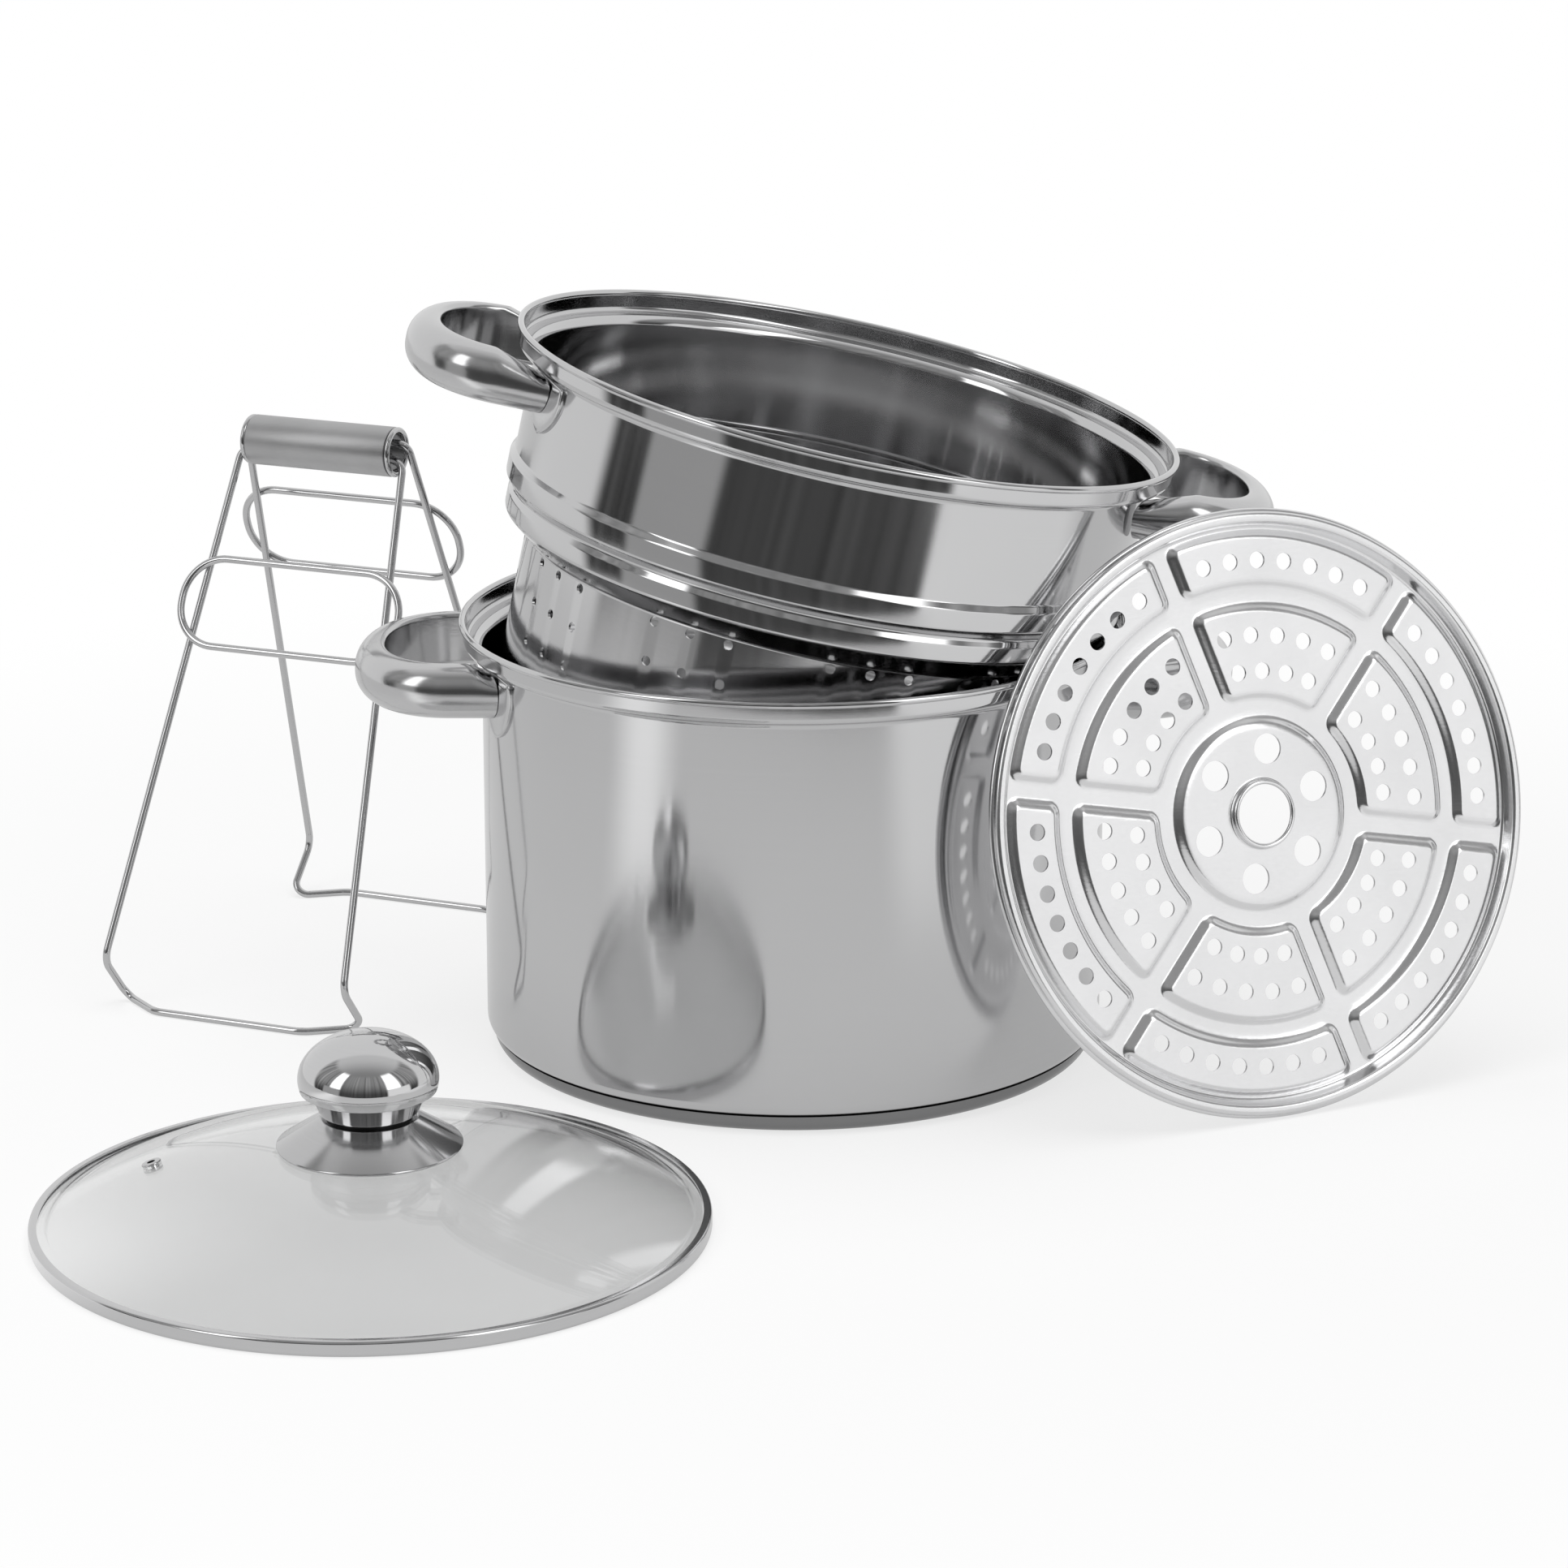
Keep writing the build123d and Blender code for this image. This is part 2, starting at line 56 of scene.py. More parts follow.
# Shapes shared by the pieces: rounded paths, spun shells, swept wires

def roundedPath(points, bends, arcStep=10):
    # a path with an arc at each inner corner, in the plane of the profile or in space
    path = [Vector(points[0])]
    for before, corner, after, bend in zip(points, points[1:], points[2:], bends):
        corner = Vector(corner)
        back = (Vector(before) - corner).normalized()
        ahead = (Vector(after) - corner).normalized()
        turn = pi - back.angle(ahead)
        if bend == 0 or turn < 0.001:
            path.append(corner)
            continue
        middle = corner + (back + ahead).normalized() * (bend / cos(turn / 2))
        start = corner + back * bend * tan(turn / 2) - middle
        end = corner + ahead * bend * tan(turn / 2) - middle
        count = max(2, round(degrees(turn) / arcStep))
        for i in range(count + 1):
            share = i / count
            spoke = start * (sin((1 - share) * turn) / sin(turn)) + end * (sin(share * turn) / sin(turn))
            path.append(middle + spoke)
    path.append(Vector(points[-1]))
    return path


def besidePath(path, distance, least=0.3):
    # the same path moved sideways, to the left of its direction, and not too far at sharp corners
    moved = []
    for i, point in enumerate(path):
        into = (point - path[i - 1]).normalized() if i else (path[1] - point).normalized()
        out = (path[i + 1] - point).normalized() if i < len(path) - 1 else into
        side = Vector((-into.y - out.y, into.x + out.x)).normalized()
        moved.append(point + side * distance / max(least, side.dot(Vector((-into.y, into.x)))))
    return moved


def arcPoints(centre, radius, first, last, count):
    angles = [radians(first + (last - first) * i / count) for i in range(count + 1)]
    return [Vector((centre[0] + radius * cos(a), centre[1] + radius * sin(a))) for a in angles]


def finishMesh(bm, name, finish, place=None, sharp=35):
    # closes doubles, turns the faces outwards and makes the object at the origin
    bmesh.ops.remove_doubles(bm, verts=bm.verts, dist=closeBy)
    bmesh.ops.recalc_face_normals(bm, faces=bm.faces)
    if place is not None:
        bmesh.ops.transform(bm, matrix=place, verts=bm.verts)
    for face in bm.faces:
        face.smooth = True
    mesh = bpy.data.meshes.new(name)
    bm.to_mesh(mesh)
    bm.free()
    mesh.set_sharp_from_angle(angle=radians(sharp))
    mesh.materials.append(finishes[finish])
    return placed(name, mesh)


def spunMesh(profile, steps, closed=False):
    # one turn of a profile given as radius and height in millimetres
    bm = bmesh.new()
    verts = [bm.verts.new((p[0] * mm, 0, p[1] * mm)) for p in profile]
    edges = [bm.edges.new(pair) for pair in zip(verts, verts[1:])]
    if closed:
        edges.append(bm.edges.new((verts[-1], verts[0])))
    bmesh.ops.spin(bm, geom=verts + edges, cent=(0, 0, 0), axis=(0, 0, 1), dvec=(0, 0, 0),
                   angle=2 * pi, steps=steps, use_merge=True, use_duplicate=False)
    bmesh.ops.remove_doubles(bm, verts=bm.verts, dist=closeBy)
    return bm


def latheUv(piece, place, profileScale=0.12):
    # u runs round the piece's own axis, v along its profile, for brushed grain
    mesh = piece.data
    layer = mesh.uv_layers.new(name="grain")
    back = place.inverted()
    local = [back @ v.co for v in mesh.vertices]
    for polygon in mesh.polygons:
        points = [local[i] for i in polygon.vertices]
        angles = [atan2(point.y, point.x) for point in points]
        wide = max(angles) - min(angles) > pi
        for i, point, angle in zip(polygon.loop_indices, points, angles):
            turned = angle + 2 * pi if wide and angle < 0 else angle
            layer.data[i].uv = (turned / (2 * pi), (point.z + hypot(point.x, point.y)) / profileScale)


def sweptMesh(path, section, closed=False):
    # a section, as offsets across and up, carried along a path in space
    bm = bmesh.new()
    rings = []
    count = len(path)
    across = None
    for i, point in enumerate(path):
        before = path[i - 1] if i or closed else point
        after = path[(i + 1) % count] if i < count - 1 or closed else point
        ahead = ((after - point).normalized() + (point - before).normalized()).normalized()
        if across is None:
            across = ahead.cross(Vector((0, 0, 1))).normalized()
        else:
            across = (across - ahead * across.dot(ahead)).normalized()
        up = across.cross(ahead).normalized()
        rings.append([bm.verts.new(point + across * a + up * b) for a, b in section])
    pairs = list(zip(rings, rings[1:])) + ([(rings[-1], rings[0])] if closed else [])
    for first, second in pairs:
        edges = [bm.edges.get((a, b)) or bm.edges.new((a, b))
                 for ring in (first, second) for a, b in zip(ring, ring[1:] + ring[:1])]
        bmesh.ops.bridge_loops(bm, edges=edges)
    if not closed:
        for ring in (rings[0], rings[-1]):
            bm.faces.new(ring)
    return bm


def roundSection(radius, count):
    return [(radius * cos(2 * pi * i / count), radius * sin(2 * pi * i / count)) for i in range(count)]


def cutHoles(piece, cutter):
    # takes the cutter out of the piece and removes it
    cut = piece.modifiers.new("holes", "BOOLEAN")
    cut.operation = "DIFFERENCE"
    cut.solver = "MANIFOLD"
    cut.object = cutter
    bpy.context.view_layer.update()
    result = bpy.data.meshes.new_from_object(piece.evaluated_get(bpy.context.evaluated_depsgraph_get()))
    piece.modifiers.clear()
    old = piece.data
    piece.data = result
    bpy.data.meshes.remove(old)
    bpy.data.objects.remove(cutter)


def drills(places, radius, length, count=24):
    # one mesh of round cutters, each along the z axis of its place
    bm = bmesh.new()
    for place in places:
        bmesh.ops.create_cone(bm, cap_ends=True, segments=count, radius1=radius * mm, radius2=radius * mm,
                              depth=length * mm, matrix=place)
    mesh = bpy.data.meshes.new("drills")
    bm.to_mesh(mesh)
    bm.free()
    return placed("drills", mesh)


def stand(piece, body, node):
    # the piece rides on its body and stands for its CAD node
    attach(piece, body)
    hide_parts(node)


def spunPiece(name, profile, steps, finish, body, node, place=Matrix.Identity(4), closed=False,
              sharp=35):
    # a piece turned about its own axis, with the grain laid round it
    piece = finishMesh(spunMesh(profile, steps, closed), name, finish, place, sharp)
    latheUv(piece, place)
    stand(piece, body, node)
    return piece


# Finishes

def fill(tree, node, inputs):
    # numbers and colours are set on the inputs, and outputs of other nodes are linked to them
    for key, value in inputs.items():
        if isinstance(value, bpy.types.NodeSocket):
            tree.links.new(value, node.inputs[key])
        else:
            node.inputs[key].default_value = value


def add(tree, kind, inputs={}, **settings):
    # a node with its settings and inputs, known by its outputs
    node = tree.nodes.new(f"ShaderNode{kind}")
    for name, value in settings.items():
        setattr(node, name, value)
    fill(tree, node, inputs)
    return node.outputs


def math(tree, operation, *values):
    return add(tree, "Math", dict(enumerate(values)), operation=operation)[0]


def rise(tree, value, low, high):
    return add(tree, "MapRange", {"Value": value, "From Min": low, "From Max": high},
               interpolation_type="SMOOTHSTEP")[0]


def band(tree, value, low, high, soft):
    return math(tree, "MULTIPLY", rise(tree, value, low - soft, low + soft),
                rise(tree, value, high + soft, high - soft))


def blend(tree, base, over, share):
    return add(tree, "Mix", {0: share, 2: base, 3: over})[0]


def mixed(tree, share, base, over):
    return add(tree, "MixShader", {0: share, 1: base, 2: over})[0]


def length(tree, vector):
    return add(tree, "VectorMath", {0: vector}, operation="LENGTH")["Value"]


def azimuth(tree, vector):
    # degrees round the vertical, nought towards the camera and rising to the right
    x, y, z = add(tree, "SeparateXYZ", {0: vector})
    return math(tree, "MULTIPLY", math(tree, "ARCTAN2", x, math(tree, "MULTIPLY", y, -1.0)), 180 / pi), y, z


def freshMaterial(name):
    material = bpy.data.materials.new(name)
    material.use_nodes = True
    return material, material.node_tree


def valueGroup(name, inputs, outputs):
    # a group whose sockets are vectors, colours or numbers, by the values given for them
    tree = bpy.data.node_groups.new(name, "ShaderNodeTree")
    for label, value in inputs.items():
        kind = "Vector" if value is None else "Color" if isinstance(value, tuple) else "Float"
        socket = tree.interface.new_socket(name=label, in_out="INPUT", socket_type=f"NodeSocket{kind}")
        if value is not None:
            socket.default_value = value
    for label in outputs:
        kind = "Color" if label == "Colour" else "Float"
        tree.interface.new_socket(name=label, in_out="OUTPUT", socket_type=f"NodeSocket{kind}")
    return tree, tree.nodes.new("NodeGroupInput").outputs, tree.nodes.new("NodeGroupOutput")


# what all the steels share: how their grain and smudges show
polish = {"grainDetail": 3.0, "grainTone": 0.06, "smudgeDetail": 4.0, "tone": 0.97,
          "leastRoughness": 0.015, "relief": 0.0004, "turn": 0.25, "tint": 1.008}


def polishGroup():
    # faint grain round the piece, soft smudges, and the change both make to the shine
    tree, given, leave = valueGroup(
        "polishedSteel",
        {"Vector": None, "Grain Along": 6.0, "Grain Across": 900.0, "Colour": (0.6, 0.6, 0.6, 1),
         "Roughness": 0.1, "Roughness Range": 0.05, "Smudge Scale": 14.0, "Smudge Tone": 0.08},
        ("Colour", "Roughness", "Height"))
    along, across = given["Grain Along"], given["Grain Across"]
    stretch = add(tree, "CombineXYZ", {0: along, 1: across, 2: across})[0]
    lay = add(tree, "VectorMath", {0: given["Vector"], 1: stretch}, operation="MULTIPLY")[0]
    grain = add(tree, "TexNoise", {"Scale": 1.0, "Detail": polish["grainDetail"], "Vector": lay})["Fac"]
    smudge = add(tree, "TexNoise", {"Scale": given["Smudge Scale"], "Detail": polish["smudgeDetail"],
                                    "Vector": add(tree, "TexCoord")["Object"]})["Fac"]
    centred = math(tree, "SUBTRACT", smudge, 0.5)
    shine = math(tree, "MULTIPLY_ADD", centred, given["Roughness Range"], given["Roughness"])
    cloud = math(tree, "MULTIPLY_ADD", centred, given["Smudge Tone"], polish["tone"])
    tone = math(tree, "MULTIPLY_ADD", grain, polish["grainTone"], cloud)
    fill(tree, leave, {
        "Colour": add(tree, "VectorMath", {0: given["Colour"], "Scale": tone}, operation="SCALE")[0],
        "Roughness": math(tree, "MAXIMUM", shine, polish["leastRoughness"]), "Height": grain})
    return tree


steelPolish = polishGroup()


def steel(name, colour, roughness, vary, bump, along=6.0, across=900.0, brushed=0.0, useUv=False,
          smudge=14.0, tone=0.08):
    material, tree = freshMaterial(name)
    place = add(tree, "UVMap", uv_map="grain")["UV"] if useUv else add(tree, "TexCoord")["Object"]
    finish = add(tree, "Group", node_tree=steelPolish, inputs={
        "Vector": place, "Grain Along": along, "Grain Across": across,
        "Colour": (colour, colour, colour * polish["tint"], 1), "Roughness": roughness,
        "Roughness Range": vary, "Smudge Scale": smudge, "Smudge Tone": tone})
    relief = add(tree, "Bump", {"Strength": bump, "Distance": polish["relief"], "Height": finish["Height"]})
    look = {"Metallic": 1.0, "Base Color": finish["Colour"], "Roughness": finish["Roughness"],
            "Normal": relief["Normal"]}
    if brushed:
        lay = add(tree, "Tangent", direction_type="UV_MAP", uv_map="grain")[0]
        look.update({"Anisotropic": brushed, "Anisotropic Rotation": polish["turn"], "Tangent": lay})
    fill(tree, tree.nodes["Principled BSDF"], look)
    return material


# colour, roughness, its range and the grain's relief, then the grain's length and pitch
steels = {
    "potSteel": ((0.60, 0.09, 0.03, 0.012, 5.0, 700.0), {"brushed": 0.85, "useUv": True}),
    "insertSteel": ((0.60, 0.09, 0.03, 0.014, 5.0, 700.0), {"brushed": 0.85, "useUv": True}),
    "capSteel": ((0.26, 0.2, 0.06, 0.08, 5.0, 900.0), {"brushed": 0.6, "useUv": True}),
    "handleSteel": ((0.60, 0.17, 0.06, 0.05), {}),
    "bandSteel": ((0.62, 0.14, 0.05, 0.05, 5.0, 700.0), {"useUv": True}),
    "knobSteel": ((0.62, 0.045, 0.03, 0.01, 5.0, 500.0), {"useUv": True}),
    # near black: painted shade for the knob's neck, where the knob meets the escutcheon
    "neckPaintedShade": ((0.03, 0.5, 0.1, 0.02), {}),
    "spunSteel": ((0.54, 0.13, 0.03, 0.012, 4.0, 500.0), {"brushed": 0.9, "useUv": True}),
    "plateSteel": ((0.80, 0.2, 0.1, 0.06), {"smudge": 22.0, "tone": 0.22}),
    "tubeSteel": ((0.5, 0.42, 0.1, 0.1), {"smudge": 60.0, "tone": 0.3}),
    "wireSteel": ((0.58, 0.12, 0.05, 0.03), {}),
    "fittingSteel": ((0.55, 0.2, 0.08, 0.05), {}),
}
finishes = {name: steel(name, *values, **more) for name, (values, more) in steels.items()}

glass = {"tint": (0.972, 0.976, 0.976), "ior": 1.45, "hazeScale": 25.0, "haze": 0.03, "hazeTone": 0.98,
         "slant": 0.88, "thick": (0.45, 0.46, 0.46)}


def lidGlassFinish():
    # clear and faintly hazy, and darker where the pane is seen edge on
    material, tree = freshMaterial("lidGlass")
    place = add(tree, "TexCoord")["Object"]
    haze = add(tree, "TexNoise", {"Scale": glass["hazeScale"], "Vector": place})["Fac"]
    clear = add(tree, "MapRange", {"Value": haze, "To Max": glass["haze"]})[0]
    pale, hazy = [(*(part * tone for part in glass["tint"]), 1) for tone in (1, glass["hazeTone"])]
    shade = add(tree, "Mix", data_type="RGBA", inputs={0: haze, 6: pale, 7: hazy})[2]
    facing = add(tree, "LayerWeight")["Facing"]
    edge = add(tree, "MapRange", {"Value": facing, "From Min": glass["slant"]})[0]
    tint = add(tree, "Mix", data_type="RGBA", inputs={0: edge, 6: shade, 7: (*glass["thick"], 1)})[2]
    fill(tree, tree.nodes["Principled BSDF"],
         {"Transmission Weight": 1.0, "IOR": glass["ior"], "Roughness": clear, "Base Color": tint})
    return material


finishes["lidGlass"] = lidGlassFinish()
print("finishes ready")

# Pot: drawn body with a stepped collar and a rolled rim, over a capsule base
pot = {"radius": 120.0, "height": 170.0, "corner": 5.0, "floor": 6.9, "collarRadius": 127.4,
       "collarHeight": 9.5, "collarBend": 3.0, "rim": 1.35, "sheet": 1.0,
       "capRadius": 117.6, "capHeight": 7.0, "capCorner": 6.5, "capSheet": 0.8, "steps": 320,
       "arcStep": 6, "rimSteps": 26}


def cupProfile(points, bends, sheet, rimRadius, rimCentre):
    # outside of the sheet from the middle of the floor, round the rolled rim and back inside
    outside = roundedPath(points, bends, pot["arcStep"])
    inside = besidePath(outside, sheet)
    rimDip = sqrt(rimRadius ** 2 - sheet ** 2)
    rolled = arcPoints(rimCentre, rimRadius, -90, 180 + degrees(asin(rimDip / rimRadius)), pot["rimSteps"])
    outside[-1] = rolled[0]
    inside[0].x = 0
    return outside[:-1] + rolled + inside[-2::-1]


def makePot():
    top = pot["height"] - pot["rim"]
    ledge = pot["height"] - pot["collarHeight"]
    profile = cupProfile(
        [(0, pot["floor"]), (pot["radius"], pot["floor"]), (pot["radius"], ledge),
         (pot["collarRadius"], ledge), (pot["collarRadius"], top - pot["rim"])],
        [pot["corner"], pot["collarBend"], pot["collarBend"]], pot["sheet"], pot["rim"],
        (pot["collarRadius"], top))
    spunPiece("potShell", profile, pot["steps"], "potSteel", "pot", "pot_body")
    outside = roundedPath([(0, 0), (pot["capRadius"], 0), (pot["capRadius"], pot["capHeight"])],
                          [pot["capCorner"]], pot["arcStep"])
    inside = besidePath(outside, pot["capSheet"])
    inside[0].x = 0
    spunPiece("potBaseCap", outside + inside[::-1], pot["steps"], "capSteel", "pot", "pot_base_cap")
    print("pot made")


makePot()

# Insert: the same collar over a wall with two beads and a narrower, perforated strainer
insert = {"tilt": 12.1, "place": (21.6, 4.0, 259.3), "depth": 136.0, "strainer": 109.8, "corner": 10.0,
          "stepTop": 71.5, "stepBottom": 79.5, "stepBend": 2.2, "bead": 121.8, "beadTop": 51.0,
          "beadBottom": 58.5, "beadRun": 2.4, "beadBend": 1.6, "groove": 118.4, "grooveDepth": 62.2,
          "ridge": 119.8, "ridgeTop": 65.0, "hole": 3.8, "groups": 10, "across": 3, "rows": 3,
          "firstRow": 82.6, "pitch": 15.2, "startAngle": 31.0, "drain": 6.0, "drainRings": 3,
          "drainPitch": 27.0, "drainStep": 6, "drill": 8, "sharp": 35}
insertPlace = shifted(*insert["place"]) @ Matrix.Rotation(radians(insert["tilt"]), 4, "Y")


def makeInsert():
    s = insert
    profile = cupProfile(
        [(0, -s["depth"]), (s["strainer"], -s["depth"]), (s["strainer"], -s["stepBottom"]),
         (s["ridge"], -s["stepTop"]), (s["ridge"], -s["ridgeTop"]), (s["groove"], -s["grooveDepth"]),
         (s["bead"], -s["beadBottom"]), (s["bead"], -s["beadTop"]),
         (pot["radius"], s["beadRun"] - s["beadTop"]), (pot["radius"], -pot["collarHeight"]),
         (pot["collarRadius"], -pot["collarHeight"]), (pot["collarRadius"], -2 * pot["rim"])],
        [s["corner"], s["stepBend"], s["stepBend"]] + [s["beadBend"]] * 5 + [pot["collarBend"]] * 2,
        pot["sheet"], pot["rim"], (pot["collarRadius"], -pot["rim"]))
    shell = finishMesh(spunMesh(profile, pot["steps"]), "insertShell", "insertSteel")
    places = []
    column = degrees(s["pitch"] / s["strainer"])
    for group in range(s["groups"]):
        for i in range(s["across"]):
            angle = s["startAngle"] + group * 360 / s["groups"] + (i - (s["across"] - 1) / 2) * column
            for row in range(s["rows"]):
                out = shifted(s["strainer"], 0, -s["firstRow"] - row * s["pitch"])
                places.append(Matrix.Rotation(radians(angle), 4, "Z") @ out @ Matrix.Rotation(pi / 2, 4, "Y"))
    cutHoles(shell, drills(places, s["hole"] / 2, s["drill"]))
    places = [shifted(0, 0, -s["depth"])]
    for ring in range(1, s["drainRings"] + 1):
        for i in range(ring * s["drainStep"]):
            angle = 2 * pi * i / (ring * s["drainStep"])
            places.append(polar(ring * s["drainPitch"], angle, -s["depth"]))
    cutHoles(shell, drills(places, s["drain"] / 2, s["drill"]))
    shell.data.set_sharp_from_angle(angle=radians(s["sharp"]))
    shell.data.transform(insertPlace)
    latheUv(shell, insertPlace)
    stand(shell, "insert", "insert_body")
    print("insert made")


makeInsert()

# Loop handles and their leaf brackets
handle = {"reach": 163.0, "halfWidth": 43.0, "squareness": 2.2, "thick": 12.0, "tall": 21.0,
          "bulge": 9.6, "edge": 2.0, "potDrop": 20.0, "insertDrop": 16.5, "gap": 0.1, "join": 16.0,
          "bracketSheet": 1.6, "bracketHalf": 16.0, "bracketSide": 2.0, "bracketTip": 17.5,
          "bracketBelly": 3.2, "bracketCorner": 2.5, "bracketEdge": 0.55, "bracketSharp": 50,
          "bracketSteps": ((0.45, 0.8), (0.6, 0.95), (1.2, 1.0), (2.4, 1.0)),
          "bowSteps": 40, "stepLength": 2.0, "clear": 0.15}


def bulgedSection(thick, tall, bulge, edge, count=12):
    # an oblong with wide rounds outside and narrow ones inside, as offsets across and up
    points = []
    for sideways, upward, first, bend in ((1, 1, 0, bulge), (-1, 1, 90, edge),
                                          (-1, -1, 180, edge), (1, -1, 270, bulge)):
        for i in range(count + 1):
            angle = radians(first + 90 * i / count)
            points.append(((sideways * (thick / 2 - bend) + bend * cos(angle)) * mm,
                           (upward * (tall / 2 - bend) + bend * sin(angle)) * mm))
    return points


def sagittaPoints(start, end, sag, count):
    # an arc from start to end that rises by sag to the right of the line between them
    start, end = Vector(start), Vector(end)
    half = (end - start).length / 2
    along = (end - start).normalized()
    aside = Vector((along.y, -along.x))
    radius = (half ** 2 + sag ** 2) / (2 * sag)
    middle = (start + end) / 2 - aside * (radius - sag)
    sweep = asin(half / radius)
    return [middle + aside * radius * cos(a) + along * radius * sin(a)
            for a in [sweep * (2 * i / count - 1) for i in range(count + 1)]]


def makeHandle(name, node, body, place, drop):
    h = handle
    inner = pot["radius"] + h["bracketSheet"]
    start = sqrt(inner ** 2 - h["halfWidth"] ** 2)
    straight = start + h["join"]
    # two straight ends joined by a bow that is a little squarer than an ellipse
    bow, power = h["reach"] - straight, 2 / h["squareness"]
    arch = [(straight + bow * sin(a) ** power, -h["halfWidth"] * cos(a) ** power)
            for a in [pi / 2 * i / h["bowSteps"] for i in range(h["bowSteps"])]]
    outline = [(start, -h["halfWidth"])] + arch
    outline = outline + [(h["reach"], 0)] + [(x, -y) for x, y in outline[::-1]]
    path = [Vector((x, y, 0)) for x, y in outline]
    dense = []
    for a, b in zip(path, path[1:]):
        pieces = max(1, round((b - a).length / h["stepLength"]))
        dense += [a.lerp(b, i / pieces) for i in range(pieces)]
    dense.append(path[-1])
    bm = sweptMesh([p * mm for p in dense], bulgedSection(h["thick"], h["tall"], h["bulge"], h["edge"]))
    collarLow = drop - pot["collarHeight"]
    nearUp, underUp = collarLow - pot["collarBend"] - h["gap"], collarLow - h["gap"]
    for vert in bm.verts:
        # the ends are shaped to the wall and drawn down to pass under the collar
        if vert.co.x < straight * mm:
            share = (vert.co.x / mm - start) / h["join"]
            wall = sqrt(inner ** 2 - (vert.co.y / mm) ** 2)
            vert.co.x = (wall + (straight - wall) * share) * mm
        out = hypot(vert.co.x, vert.co.y) / mm
        ceiling = nearUp + (underUp - nearUp) * (out - pot["radius"]) / (
            pot["collarRadius"] + pot["rim"] - pot["radius"]) - h["clear"]
        if vert.co.z > 0 and ceiling < h["tall"] / 2:
            vert.co.z *= ceiling / (h["tall"] / 2)
    piece = finishMesh(bm, name, "handleSteel", place)
    stand(piece, body, node)


def makeBrackets(name, node, body, place, drop):
    h = handle
    top = drop - pot["collarHeight"] - pot["collarBend"] - h["gap"]
    bm = bmesh.new()
    spread = degrees(asin(h["halfWidth"] / pot["radius"]))
    for middle in (-spread, spread):
        half, side, tip = h["bracketHalf"], -h["bracketSide"], -h["bracketTip"]
        shoulder = roundedPath([(-half, side), (-half, top), (half, top), (half, side)],
                               [h["bracketCorner"]] * 2, 15)
        right = sagittaPoints((0, tip), (half, side), h["bracketBelly"], 10)
        left = sagittaPoints((-half, side), (0, tip), h["bracketBelly"], 10)
        outline = shoulder[:0:-1] + left[:-1] + right[:-1]
        made = bmesh.ops.create_circle(bm, cap_ends=True, segments=len(outline), radius=1)
        rim = made["verts"]
        for vert, point in zip(rim, outline):
            vert.co = Vector((point[0], point[1], 0))
        base = [f for f in bm.faces if all(v in rim for v in f.verts)]
        raised = bmesh.ops.extrude_face_region(bm, geom=base)
        cap = [g for g in raised["geom"] if isinstance(g, bmesh.types.BMFace)]
        for vert in {v for f in cap for v in f.verts}:
            vert.co.z = h["bracketSheet"] * h["bracketEdge"]
        for step, lift in h["bracketSteps"]:
            bmesh.ops.inset_region(bm, faces=cap, thickness=step, use_even_offset=True)
            for vert in {v for f in cap for v in f.verts}:
                vert.co.z = h["bracketSheet"] * lift
        fresh = {v for f in bm.faces for v in f.verts if not v.tag}
        for vert in fresh:
            out = pot["radius"] + vert.co.z
            angle = radians(middle) + vert.co.x / pot["radius"]
            vert.co = Vector((out * cos(angle), out * sin(angle), vert.co.y)) * mm
            vert.tag = True
    piece = finishMesh(bm, name, "handleSteel", place, h["bracketSharp"])
    stand(piece, body, node)


potTop = shifted(0, 0, pot["height"])
for side, turn in (("right", 0), ("left", pi)):
    for body, top, drop in (("pot", potTop, handle["potDrop"]), ("insert", insertPlace, handle["insertDrop"])):
        level = top @ shifted(0, 0, -drop) @ Matrix.Rotation(turn, 4, "Z")
        makeHandle(f"{body}Handle{side.title()}", f"{body}_handle_{side}", body, level, drop)
        makeBrackets(f"{body}Brackets{side.title()}", f"{body}_brackets_{side}", body, level, drop)
print("handles made")

# Lid: domed pane in a steel channel, with the knob on its spun escutcheon and a vent eyelet
lid = {"place": (-149.0, -212.0, 0.0), "radius": 121.0, "bandSheet": 0.8, "bandBend": 1.3, "bandLip": 3.0,
       "glass": 4.0, "fit": 0.1, "flange": 5.0, "paneRound": 1.0, "dome": 33.0,
       "knobRadius": 25.0, "knobRise": 16.9, "knobCentre": 56.0, "lipRadius": 22.2, "lip": 1.4,
       "ringRadius": 21.2, "footRadius": 17.2, "foot": 7.0, "neckRadius": 15.0, "neck": 1.4,
       "coneRadius": 33.4, "coneTop": 42.0, "coneNeck": 17.4, "coneSheet": 1.2, "coneBend": 1.5,
       "screw": 2.5, "footBends": (0.3, 0.5, 0.25, 0.8, 0.4), "footArc": 15, "knobSharp": 40,
       "ventOffset": 79.0, "ventAngle": 174.0, "ventRadius": 3.6, "ventTube": 2.4, "ventBore": 1.5,
       "ventLip": 0.8, "ventBends": (0.35, 0.3, 0, 0, 0.3, 0.3), "drill": 14, "sharp": 35,
       "domeSteps": 60, "ballSteps": 64, "paneTurn": 256, "bandTurn": 288, "coneTurn": 160,
       "knobTurn": 192, "ventTurn": 48, "paintedShadeEdge": 0.05}
lidPlace = shifted(*lid["place"])


